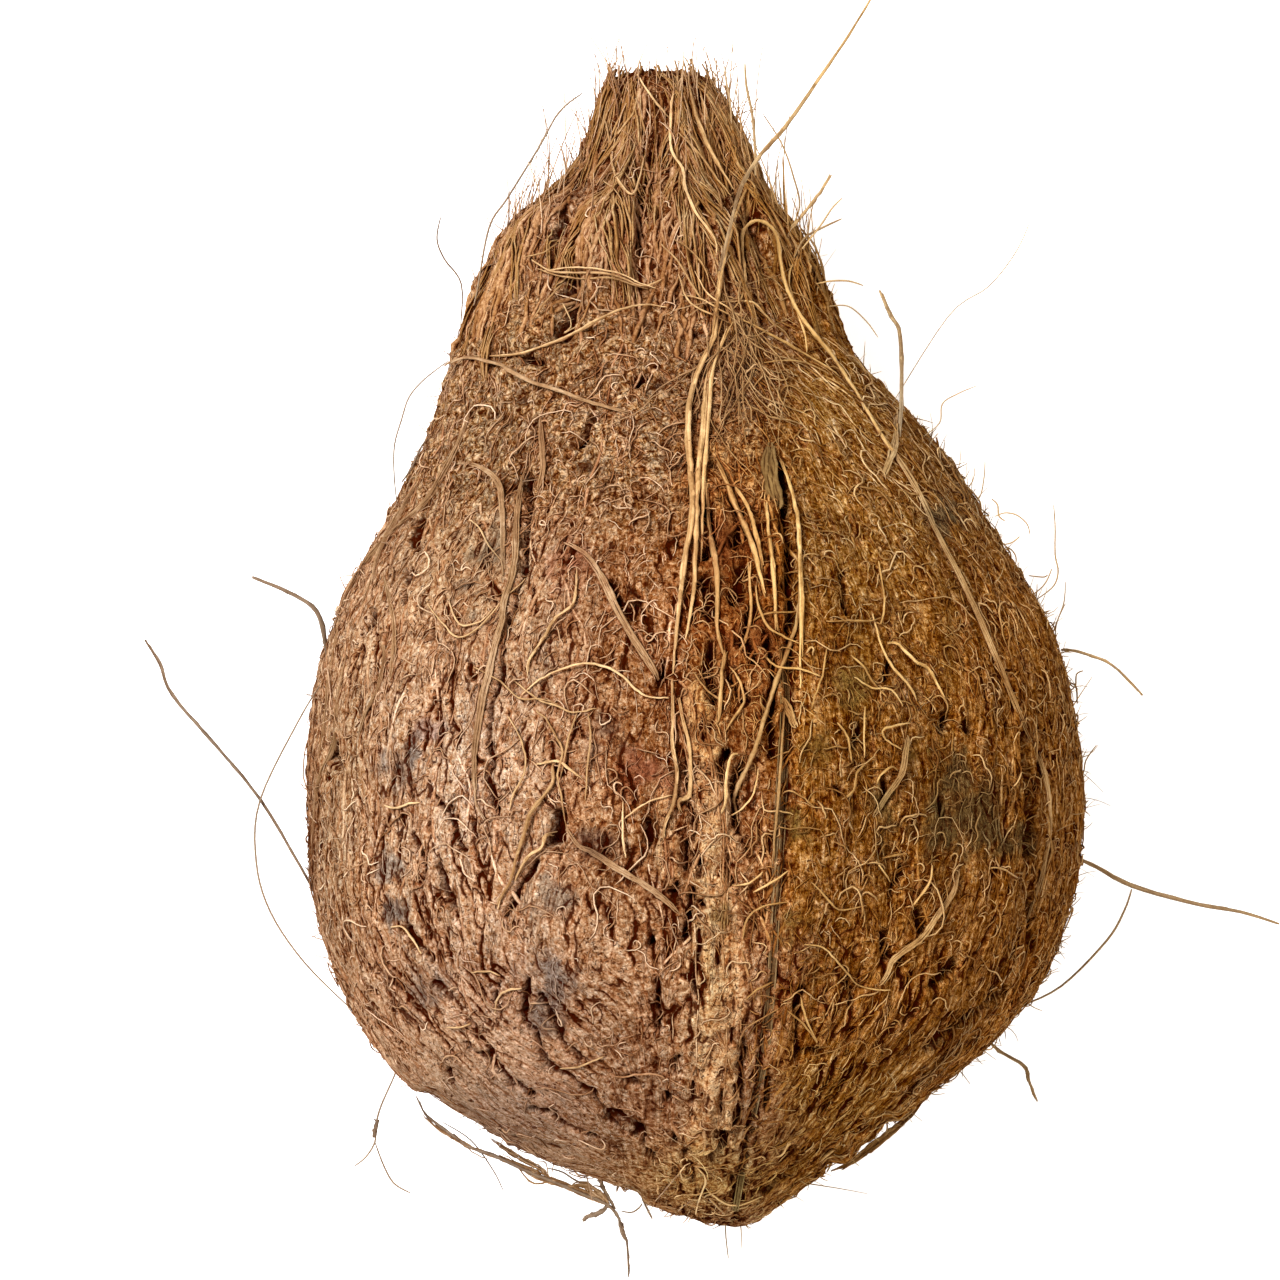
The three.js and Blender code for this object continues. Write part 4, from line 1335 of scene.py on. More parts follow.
PALE_ROUTES = [
    # down the front from the knot under the tuft
    (0.27, 1.0, [(8.2, 77.5), (6.6, 74.2), (5.4, 70), (4.2, 65.2), (3.5, 60.5), (2.8, 56), (1, 51.5)]),
    (0.44, 0.8, [(4.4, 66), (3.5, 61), (3, 56), (1, 51.7), (-0.2, 47.5), (-0.6, 42.8), (-0.3, 38.4),
                 (0.1, 34.4), (-0.2, 30), (-0.9, 26), (-1.4, 21.5), (-1.8, 18), (-2.2, 14), (-2.6, 10)]),
    (0.42, 0.7, [(4.6, 60), (2.3, 51.4), (1.8, 47.4), (1.5, 42.8), (1, 38.4), (0.8, 34.4), (0.7, 30),
                 (0.5, 26), (0.3, 21.5), (-0.4, 17), (-1.2, 13)]),
    (0.31, 0.6, [(5.6, 58), (3, 52), (2.1, 43), (1.5, 36), (1.3, 30), (1.1, 25)]),
    (0.40, 0.5, [(2, 36), (2.3, 30), (3.1, 26), (3.5, 21.4), (3.4, 16), (4.3, 12.3)]),
    (0.40, 0.7, [(3, 39.8), (4.5, 36.8), (6, 32.8), (7.6, 29.4), (8.8, 26), (9.3, 23.5), (10.1, 20.4)]),
    (0.31, 0.9, [(5.6, 35.8), (7.3, 33.4), (8.2, 31), (9.2, 27), (9.8, 23)]),
    (0.32, 0.6, [(10.1, 34), (10.3, 30.7), (10.8, 26), (11.3, 21), (11.4, 16)]),
    (0.30, 0.7, [(12, 39.4), (13.3, 36), (14.1, 32.8), (14.6, 29.4), (14.8, 24.4), (15, 20.4), (14.9, 14),
                 (15, 8)]),
    (0.20, 0.9, [(8.7, 22), (9, 19.4), (10.2, 16.7), (12.2, 15.3), (14.8, 14.1)]),
    (0.17, 0.8, [(8.4, 17.3), (10.2, 18.3), (14.2, 18.5)]),
    (0.20, 0.8, [(9, 13.5), (10.7, 11.7), (12.2, 10.9), (14.8, 10.7), (17.5, 9.7)]),
    (0.24, 0.6, [(7.8, 26), (7.9, 22), (8.1, 19.7), (7.8, 16.4), (6.9, 13.8), (5.5, 12)]),
    (0.22, 0.6, [(5.2, 11.2), (6.6, 8.8), (7.1, 6.2), (5.5, 3.8), (4.3, 1.8)]),
    (0.24, 0.6, [(4.7, 13.2), (4.1, 10.3), (3.9, 6.8), (3.7, 3.3)]),
    (0.20, 0.9, [(0.2, 10.3), (1.7, 8.2), (3.1, 7), (4.9, 6)]),
    (0.28, 0.6, [(-2.7, 9.4), (-2.6, 4.4), (-2.6, 0), (-2, -3), (-2.4, -7.3), (-3.6, -10.2), (-4, -12.6)]),
    (0.26, 0.6, [(-2.1, 8.8), (-1.3, 4.4), (-0.5, 0.9), (-0.2, -2.9), (-0.4, -6.4), (-1.8, -7.3),
                 (-1.4, -9.3)]),
    (0.24, 0.8, [(6.2, -0.7), (5.2, -1.4), (4.7, -4.4), (4.6, -7.3), (3.9, -9)]),
    (0.16, 0.7, [(9, -2.9), (8.4, -6.1), (6.9, -8.2), (5.2, -9.2)]),
    (0.18, 0.7, [(5.5, -18.7), (7.8, -18.4), (9.6, -16.9)]),
    (0.18, 0.7, [(8.4, -19.6), (10.7, -18.4), (13.1, -16.8)]),
    (0.18, 0.8, [(6.9, -25.8), (7.6, -23.2), (9.6, -21.6), (12.9, -21)]),
    (0.18, 0.7, [(7.4, -34.2), (8.9, -32.9), (11.1, -31.8)]),
    (0.18, 0.7, [(12.7, -35.6), (15.1, -37.5), (17, -40.1)]),
    (0.20, 0.7, [(14.8, -33.8), (15.5, -36.8), (17, -40)]),
    (0.16, 0.7, [(15.3, -26.8), (17.4, -27), (19, -28.2), (21, -30.5), (23, -32.5), (27, -33)]),
    # over the crumbly middle
    (0.26, 0.8, [(-15.7, 25), (-15.7, 22), (-16.2, 19.4), (-18.4, 17.7), (-19.7, 15.7), (-21, 13.7),
                 (-22.2, 11.7), (-22.2, 9.3)]),
    (0.20, 1.2, [(-23, 7.3), (-20.7, 9.3), (-17.7, 10.7), (-14.7, 11.5), (-11.7, 11), (-9.4, 9.7),
                 (-7.7, 8), (-5.7, 6.9), (-3.2, 6.8)]),
    (0.18, 0.9, [(-25, 4.3), (-23.7, 2), (-22.7, -0.8), (-22.9, -3.7), (-24.3, -6.3), (-24.8, -8.5)]),
    (0.27, 0.8, [(-18, -1.8), (-18.9, -2.4), (-18.9, -4.7), (-20.5, -6.9), (-22.1, -9.1), (-23, -12.3),
                 (-23.9, -14.9), (-24.7, -18.1), (-26.2, -20.7), (-26.7, -22.9)]),
    (0.27, 0.8, [(-18.3, -11.7), (-19.9, -11.9), (-20.5, -13.6), (-22.1, -14.6), (-23.1, -16.2),
                 (-24, -18.1)]),
    (0.24, 0.9, [(-21.2, -2.3), (-18.3, -1.8), (-16.7, -2.9), (-14.8, -4.3)]),
    (0.19, 1.0, [(-21.2, 5), (-19.9, 4), (-18.6, 1.7), (-17.6, -0.5), (-18.3, -3.7), (-17.8, -6.3),
                 (-17.3, -9.8), (-16.7, -11.7)]),
    (0.17, 1.0, [(-15.4, 5.2), (-16.7, 1.7), (-17.3, -1.2), (-17.9, -4)]),
    (0.17, 0.9, [(-14.1, 4.6), (-13.8, 1), (-14.3, -3), (-14.5, -7.2)]),
    (0.18, 0.8, [(-9.4, -7.2), (-9.4, -12.3), (-9, -14.9)]),
    (0.17, 0.8, [(-9.2, -9.6), (-7.4, -8.2), (-5.1, -7), (-2.6, -6.4)]),
    (0.16, 1.0, [(-24, 9), (-21, 6.6), (-18.6, 5.8), (-16.2, 4.8), (-13, 5.4)]),
    (0.15, 1.0, [(-29.7, 11), (-26, 9), (-23.6, 6.8), (-20.6, 6.6), (-18, 5.9)]),
    # left face
    (0.16, 0.8, [(-30.2, 31), (-29, 30), (-27.6, 27.4), (-25.6, 25.2)]),
    (0.17, 0.8, [(-33, 19.8), (-31.6, 16.8), (-28.8, 17.2), (-27, 19)]),
    (0.16, 0.8, [(-36, 19.6), (-34, 17), (-31.8, 15), (-29, 16.4), (-25.8, 20), (-22.6, 23)]),
    (0.19, 0.6, [(-41.8, -7.9), (-40.2, -8.2), (-38.5, -7.6), (-37, -7.5)]),
    (0.20, 0.6, [(-41, -24.4), (-39.4, -24.4), (-38, -26), (-36.8, -28)]),
    (0.18, 0.6, [(-30, -30.6), (-28, -30.4), (-26, -31)]),
    (0.20, 0.6, [(-26.8, -36), (-26.4, -34), (-25, -33), (-23.2, -32.7)]),
    (0.18, 0.6, [(-33.2, -38), (-31.4, -38), (-30, -37.4)]),
    (0.17, 0.7, [(-18, -43.6), (-15.4, -43.4), (-13.4, -42.6), (-12, -42)]),
    # right of the seam
    (0.17, 0.9, [(18.2, 17.2), (21, 17.3), (24.2, 17.3), (26, 17.8)]),
    (0.19, 0.9, [(25.4, 25.4), (25.9, 22), (26.2, 19.7), (25.7, 17), (24.8, 17.2)]),
    (0.20, 0.9, [(21.6, 12.6), (23.3, 11.1), (24.5, 9.1), (26.5, 6.9)]),
    (0.17, 0.9, [(22.1, 9.6), (24.5, 8.2), (27.1, 7.9), (28.7, 5.7)]),
    (0.21, 0.9, [(24.6, 18.2), (25.1, 16.1), (25.9, 13.5), (27.4, 10.9), (29.7, 8.2), (30.6, 6.4)]),
    (0.27, 0.9, [(26.5, 14.3), (28.1, 14.1), (30.3, 11.9), (32.2, 10.8), (33.6, 8.2), (34.9, 5.7)]),
    (0.18, 0.7, [(23.5, 5.6), (23.4, 2), (23.5, -1.4)]),
    (0.20, 0.7, [(19.8, 3.4), (21, 1.8), (21.5, -0.3), (21.7, -2)]),
    (0.20, 0.7, [(23.5, -2.3), (22.4, -3.5), (22, -5.8), (20.4, -7)]),
    (0.18, 0.8, [(29.6, 3.4), (27.6, 3), (25.9, 2.3), (26.7, 0.9), (28.5, -0.2)]),
    (0.18, 0.8, [(28.1, -3.2), (27.1, -2.6), (25.6, -3.8), (25.1, -4.9)]),
    (0.18, 0.7, [(18.3, 13.5), (17.7, 9.7), (16.7, 7), (16.3, 5.3)]),
    (0.20, 0.7, [(32.7, -16), (32.2, -18.6), (30, -21.5)]),
    (0.18, 0.7, [(25, -15.3), (27, -18.2)]),
    (0.18, 0.7, [(25.9, -15), (27.6, -14.6), (29.2, -14.4)]),
    (0.16, 0.7, [(40.2, -16.4), (42.1, -16.4), (44.3, -17.7)]),
    (0.16, 0.7, [(16.2, -18.2), (18, -20), (20, -22), (23, -21.6)]),
    # between the tuft and the shoulder
    (0.30, 1.4, [(5, 58.9), (6.8, 61.1), (7.2, 64), (6.8, 67.7), (7, 70.3), (8.6, 71.7), (10.5, 71.2),
                 (11.7, 69.2), (12.1, 65.9), (13, 62.2), (14.9, 58.6), (16.6, 56.4), (18.6, 54),
                 (20.3, 51.4), (22.3, 48.4), (24.3, 45), (26, 42), (28, 39.2), (29.6, 36.6)]),
    (0.19, 1.0, [(15.3, 68), (13.4, 65.2), (13.4, 62.2), (14.5, 58.9), (15.4, 56), (15.6, 53.8)]),
    (0.18, 1.0, [(4.6, 60.7), (8.2, 60.6), (9.7, 59.1), (11.4, 57.3)]),
    (0.22, 0.9, [(5.3, 58.9), (8.2, 57.6), (11.2, 56), (14.5, 54.1), (18.2, 51.9), (20.3, 50.4)]),
    (0.16, 0.8, [(9, 52.2), (12.4, 52.7), (15.4, 52.4), (18.4, 51)]),
    (0.18, 1.0, [(-7.5, 91.6), (-5.3, 88.3), (-3.1, 85.7)]),
    (0.22, 1.0, [(-1.1, 92), (-2.6, 88.7), (-2.9, 85), (-2.8, 81.3), (-1.3, 78.8), (-0.9, 76.2),
                 (0.5, 72.9), (3.1, 69.2), (3.3, 66.6)]),
    (0.28, 0.9, [(-0.6, 91.3), (0.5, 86.1), (2, 82.4), (3.9, 78.8), (5.7, 75.8)]),
    (0.20, 0.9, [(-2, 83.8), (0.9, 80.9), (3.5, 77.3), (5.3, 75.1)]),
    (0.24, 0.7, [(-11.8, 86), (-11.2, 82.4), (-10.7, 78.7), (-9.4, 76.2), (-7.9, 75.4), (-6.8, 78.8),
                 (-6.2, 82)]),
    (0.16, 0.8, [(-12.3, 77.3), (-10.1, 75.4), (-9, 73)]),
    (0.18, 1.2, [(-4.2, 68.5), (-2, 66.3), (0.2, 62.6), (2, 60)]),
    (0.15, 1.2, [(-2.4, 69.2), (-0.2, 67.7), (1.6, 65.5), (2.4, 63)]),
    (0.15, 1.2, [(-1.8, 64.4), (-0.6, 61), (1.6, 59.4), (4, 58.6)]),
    (0.15, 1.2, [(-1.4, 61.6), (1.4, 61), (3.4, 59.8), (6.6, 58.2)]),
    (0.14, 1.2, [(0.4, 64.8), (2, 62), (4, 60.4), (6.8, 58.6)]),
    (0.20, 1.6, [(-21.8, 66.4), (-19.3, 64.9), (-16, 64.6), (-12.3, 64.6), (-9.4, 63.9), (-6.5, 62.8),
                 (-4.2, 63.7)]),
    (0.17, 1.8, [(-21, 65.2), (-18.4, 64.3), (-15, 63.8), (-11.6, 64), (-8.6, 63.2), (-6, 62.4)]),
    (0.15, 1.9, [(-20.4, 64.8), (-17, 65.3), (-13.6, 65.2), (-10, 64.6), (-7, 63.2), (-5, 62.6)]),
    (0.27, 1.0, [(-29.6, 53.2), (-24, 53.5), (-19.7, 54.8), (-16, 56.3), (-13, 58.1), (-9.7, 59.6),
                 (-6.4, 60.3), (-3.5, 60)]),
    (0.15, 1.4, [(-22.6, 66.8), (-20.2, 67.4), (-18.2, 68.6)]),
    (0.14, 1.2, [(-17.6, 63.2), (-19.6, 61), (-22, 58)]),
    (0.14, 1.2, [(-17.6, 60.4), (-16.4, 57.6), (-17.4, 56.4), (-15.6, 57.4)]),
    # the wisps that fan out at the base
    (0.17, 0.6, [(-5, -61.7), (-2.5, -58.7), (-0.6, -56.5)]),
    (0.17, 0.6, [(-1.9, -63), (-0.3, -61.7), (1.6, -61.3)]),
    (0.17, 0.6, [(0.5, -63.4), (1, -61.3), (1.9, -58.7), (0.5, -56.9)]),
    (0.18, 0.6, [(1.9, -60.6), (3.4, -62.4), (4.6, -63.6)]),
    (0.18, 0.6, [(1.6, -59.6), (4.5, -62), (7.1, -62), (9.6, -61)]),
]
DARK_ROUTES = [
    (0.30, 1.5, [(-34.3, 51.2), (-32.9, 52.5), (-30, 53), (-26, 52), (-25, 51.4), (-21.7, 49.7),
                 (-18.4, 48.7), (-15, 47.4), (-11.7, 46.4), (-8.4, 45.4)]),
    (0.38, 0.7, [(14.4, 22), (14.5, 18.5), (13.7, 15), (12.2, 10.9), (11, 7.3), (10.1, 4.4), (9, 0.6),
                 (7.5, -2.9), (6.1, -5.8), (5.8, -7.3), (6.3, -9.6), (6.6, -11.7)]),
    (0.22, 0.6, [(47.2, -0.6), (48.3, -4.3), (48.7, -7.9), (48.7, -11.6), (48.2, -15.3), (47.4, -20)]),
    (0.22, 0.6, [(12.6, 6), (12.2, 0), (11.8, -5.8), (11.3, -11.7), (11, -16)]),
]
BLADES = [
    (0.42, 0.6, [(-17.4, 28), (-14.7, 26.5), (-12.7, 24), (-11.4, 21.3), (-10, 18.3), (-8.4, 15.7),
                 (-6.7, 13), (-5.2, 10.4), (-4.6, 9.2)]),
    (0.34, 0.6, [(-17, -11), (-15.4, -13.3), (-13.5, -14.3), (-10.9, -15.9), (-8.4, -17.5), (-7.7, -17.9),
                 (-5.1, -19.6), (-3.3, -21), (-1.6, -22.7)]),
    (0.33, 0.5, [(-32, 38.7), (-29.7, 38.5), (-27.7, 37.5), (-26.2, 35.7), (-25.8, 32.7), (-25.7, 29.3),
                 (-25.7, 25.3), (-25.5, 22)]),
    (0.38, 0.4, [(-22, 38.7), (-23, 36.7), (-23.5, 34), (-23.9, 30.7), (-24, 26.7), (-24.5, 23.3),
                 (-25.5, 20), (-26, 16.7), (-27, 13.3), (-27.7, 10), (-28.4, 7.3), (-29, 3.3), (-29.5, 0.1),
                 (-29.6, -2.4), (-29.5, -5.6), (-29.2, -7.9), (-27.9, -10.1)]),
    (0.34, 0.5, [(29.4, 1.6), (29.2, -0.2), (28.5, -3.5), (26.6, -6.5), (24.6, -9.4)]),
    (0.34, 0.5, [(36.4, -15.7), (35.5, -19.7), (33.6, -22.6), (31.8, -25.2), (30.5, -26.5), (27.6, -28.7),
                 (26.5, -30.9), (25.4, -32.3)]),
    (0.50, 0.4, [(12.2, 6.9), (13.2, 4.8), (14.2, 2.7)]),
    (0.36, 0.4, [(-29.6, 47.6), (-30.6, 44.5), (-32, 41), (-33.8, 37.4), (-35.4, 34.6), (-37.4, 32.3),
                 (-39.8, 30.2), (-41.5, 28.5), (-43.8, 26), (-45.6, 23), (-47.4, 19.5), (-48.6, 16),
                 (-49.4, 12.4)]),
    (0.26, 0.3, [(-42.2, 24), (-41.2, 20.4), (-40.5, 16.6), (-40.6, 12.6), (-41.2, 9)]),
    (0.24, 0.3, [(-43.2, 17), (-41.8, 13), (-42.6, 8.4), (-44.4, 4.8), (-45.4, 1.4)]),
    (0.30, 0.3, [(-36.8, 36.6), (-38.6, 34), (-40.4, 30.8), (-42.6, 26.6), (-43.6, 22.4), (-45.2, 18.4)]),
    (0.28, 0.2, [(-46.2, 22.6), (-47.8, 17.4), (-49, 11), (-49.8, 4.8), (-50.6, -1.4)]),
    (0.26, 0.2, [(-47, 12.6), (-48.2, 6.6), (-48.6, 0.8), (-50.6, -4.2), (-51.4, -9), (-51.6, -14.6)]),
    (0.34, 0.9, [(24.2, 45.2), (26.2, 41.8), (28.3, 39), (31, 34.5), (33.6, 28.8), (36, 24.2), (38.4, 19.2),
                 (40.8, 13.6), (43.2, 7.8), (45.4, 2.6), (47.2, -1.4)]),
    (0.26, 0.4, [(46.4, 0.6), (47.9, -3.6), (48.6, -8), (48.4, -12.6), (47.4, -18), (45.6, -23.6)]),
    (0.46, 0.5, [(27.9, 46), (27.6, 42), (27, 39.4), (25.6, 36.4)]),
    (0.34, 0.4, [(-20.6, 45), (-20.4, 41), (-20.2, 38), (-21, 35)]),
]
pale_material = coir_material(
    "pale_coir",
    [(0.05, (0.18, 0.080, 0.022)), (0.5, (0.39, 0.238, 0.108)), (0.95, (0.66, 0.45, 0.235))],
    [(0.05, (0.17, 0.074, 0.014)), (0.5, (0.39, 0.226, 0.072)), (0.95, (0.64, 0.43, 0.180))],
    0.55,
    shadow=(0.45, 0.21, 0.09),
    grain=1.0,
    sheen=0.10,
)
blade_material = coir_material(
    "blade_coir",
    [(0.05, (0.13, 0.060, 0.023)), (0.5, (0.27, 0.155, 0.074)), (0.95, (0.46, 0.315, 0.190))],
    [(0.05, (0.14, 0.068, 0.021)), (0.5, (0.28, 0.162, 0.061)), (0.95, (0.46, 0.310, 0.145))],
    0.7,
    shadow=(0.42, 0.20, 0.10),
    grain=1.0,
    variety=0.2,
)

# Under the tuft they come out of a knot, and finer ones fan down from it over the shoulder.
FAN_FIBRES = 52
FAN_STEPS = 6
fan = []
for _ in range(FAN_FIBRES):
    x = chance.normal(5.5, 2.8)
    y = chance.normal(58, 4.5)
    heading = chance.normal(0.25, 0.45)
    stride = chance.uniform(4, 19) / FAN_STEPS
    route = [(x, y)]
    for _ in range(FAN_STEPS):
        heading += chance.normal(0, 0.25)
        x += stride * math.sin(heading)
        y -= stride * math.cos(heading)
        route.append((x, y))
    fan.append((chance.uniform(0.07, 0.14), chance.uniform(0.4, 1.6), route))
strand_piece("long_strands", laid_strands(PALE_ROUTES), 5, pale_material, 0.35)
strand_piece("dark_strands", laid_strands(DARK_ROUTES + fan), 5, blade_material, 0.5)
strand_piece("blades", laid_strands(BLADES, 5), 5, blade_material, 0.6)

# The seam itself: a band of straight olive fibres bedded in its groove.
SEAM = [(12.4, 14), (12.7, 6.5), (12.4, 0), (12.0, -10), (11.3, -22), (10.6, -34), (9.6, -42), (7.9, -51),
        (5.9, -63)]
SEAM_FIBRES = 7
SEAM_SPACING = 0.2
seam_fibres = []
for i in range(SEAM_FIBRES):
    offset = -0.6 + SEAM_SPACING * i
    route = [(x + offset * (1 - 0.5 * ramp(40, 64, -y)) + chance.normal(0, 0.06), y) for x, y in SEAM]
    radius = chance.uniform(0.10, 0.17)
    points = draped(route, -0.5 * radius, 0.0, 1)
    seam_fibres.append((points, tapered(len(points), radius * MM, 0.6)))
# A weathered shard of husk stands beside the seam's open end.
shard = draped([(10.7, 41.5), (10.5, 38.5), (10.9, 35.5), (11.8, 32.5)], 0.6, 0.2, 1)
seam_fibres += strip(shard, 0.95 * MM, 6)
OLIVE = [(0.05, (0.060, 0.030, 0.010)), (0.5, (0.155, 0.102, 0.048)), (0.95, (0.31, 0.225, 0.12))]
seam_material = coir_material("seam_coir", OLIVE, OLIVE, variety=0.3)
strand_piece("seam_fibres", seam_fibres, 5, seam_material)

# The slabs beside it show their own straight fibres.
SLAB_FIBRES = 14
slab_fibres = []
for _ in range(SLAB_FIBRES):
    half_width, route = SLABS[0] if chance.uniform() < 0.8 else SLABS[1]
    line = smooth_route([(*xy, 0) for xy in route], 6)
    first = int(chance.uniform(0, 0.8) * len(line))
    last = min(first + int(chance.uniform(5, 16)), len(line))
    offset = chance.uniform(-0.85, 0.85) * half_width
    part = [(p.x + offset + chance.normal(0, 0.13), p.y) for p in line[first:last]]
    if len(part) > 2:
        radius = chance.uniform(0.09, 0.24)
        points = draped(part[::2] + part[-1:], -0.3 * radius, 0.0, 1)
        slab_fibres.append((kinked(points, 0.02 * MM), knotty(tapered(len(points), radius * MM, 0.3))))
strand_piece("slab_fibres", slab_fibres, 5, husk_strand_material)


# ----------------------------------------------------------------------------------------------------
# Hairs: the finest fibres stand off the coat all over and show against the light at its outline.
HAIRS = 1000
HAIR_STEPS = 4
HAIR_CLEARANCE = 0.2 * MM  # a hair that comes nearer to the table than this is left out
hairs = []
for start in sow(HAIRS, lambda x, y, z: 0.25 + 0.75 * ramp(36, 48, np.abs(x)) + 0.5 * ramp(50, 60, y)):
    point, normal, _, _ = guide.find_nearest(start)
    forward, across = lengthwise_and_across(normal)
    direction = (0.8 * normal + chance.normal(0, 0.8) * forward + chance.normal(0, 0.5) * across).normalized()
    bend = forward * chance.normal(0, 0.25) + across * chance.normal(0, 0.25) - normal * 0.08
    length = (0.7 + chance.exponential(1.1)) * MM
    root = point + normal * coat_height(point, normal) - direction * 0.3 * MM
    points = sprung(root, direction, bend, length, HAIR_STEPS)
    radii = chance.uniform(0.05, 0.10) * MM * np.linspace(1, 0.4, HAIR_STEPS + 1)
    if min(p.z for p in points) > HAIR_CLEARANCE:
        hairs.append((points, radii))
# Thicker ones fringe the widest girth, which is the outline from above, most of them on the right.
FRINGE = 800
for start in sow(FRINGE, lambda x, y, z: (1 - ramp(4, 9, off_girth(y, z))) * (0.3 + 0.7 * ramp(20, 34, x))):
    point, normal, _, _ = guide.find_nearest(start)
    forward, _ = lengthwise_and_across(normal)
    direction = 0.7 * normal + chance.normal(0.35, 0.5) * forward
    direction = (direction + Vector((0, 0, chance.normal(0, 0.2)))).normalized()
    bend = forward * chance.normal(0.05, 0.2)
    length = (0.6 + chance.exponential(0.9)) * MM
    root = point + normal * coat_height(point, normal) - direction * 0.4 * MM
    points = sprung(root, direction, bend, length, HAIR_STEPS)
    hairs.append((points, chance.uniform(0.07, 0.15) * MM * np.linspace(1, 0.35, HAIR_STEPS + 1)))
hair_material = coir_material(
    "hair_coir",
    [(0.05, (0.26, 0.15, 0.08)), (0.95, (0.55, 0.38, 0.25))],
    [(0.05, (0.18, 0.10, 0.035)), (0.95, (0.44, 0.30, 0.14))],
)
strand_piece("hairs", hairs, 3, hair_material)


# ----------------------------------------------------------------------------------------------------
# The long loose fibres that stand clear of the nut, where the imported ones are, and the finer ones around
# them. Each has its radius and its route, in millimetres.
LOOSE = [
    (0.27, [(3.4, 63, 70), (4.6, 68.5, 68.5), (6.4, 74.7, 67), (9, 79, 66), (12, 82.4, 66), (16, 88, 66),
            (20.5, 94.5, 67), (24.9, 101.7, 68)]),
    (0.26, [(-50, -22, 50), (-52, -18, 50), (-58.5, -7.1, 50), (-64.6, 0.5, 51), (-70.3, 7.2, 52),
            (-72, 11.4, 52), (-74, 14.7, 52)]),
    (0.34, [(50, -14, 50), (54, -15.7, 50), (59.6, -18.7, 50), (68.4, -21.1, 51), (74.2, -22.1, 52),
            (79.3, -23.7, 52)]),
    (0.26, [(-37.4, -47.2, 50), (-36.2, -49.4, 51), (-35, -50.5, 51), (-33, -51.8, 52), (-31.2, -53.1, 52),
            (-29.6, -54, 52), (-27, -54.9, 52), (-24.5, -56, 52), (-22, -57.2, 52), (-20, -58, 52),
            (-17, -59.2, 52), (-14.4, -60.3, 52), (-12.2, -61.2, 52), (-10.6, -62.4, 52), (-9.8, -63.8, 52),
            (-9.6, -65, 51), (-8.9, -66.6, 51), (-8.7, -69, 50), (-8.6, -71.7, 50)]),
]
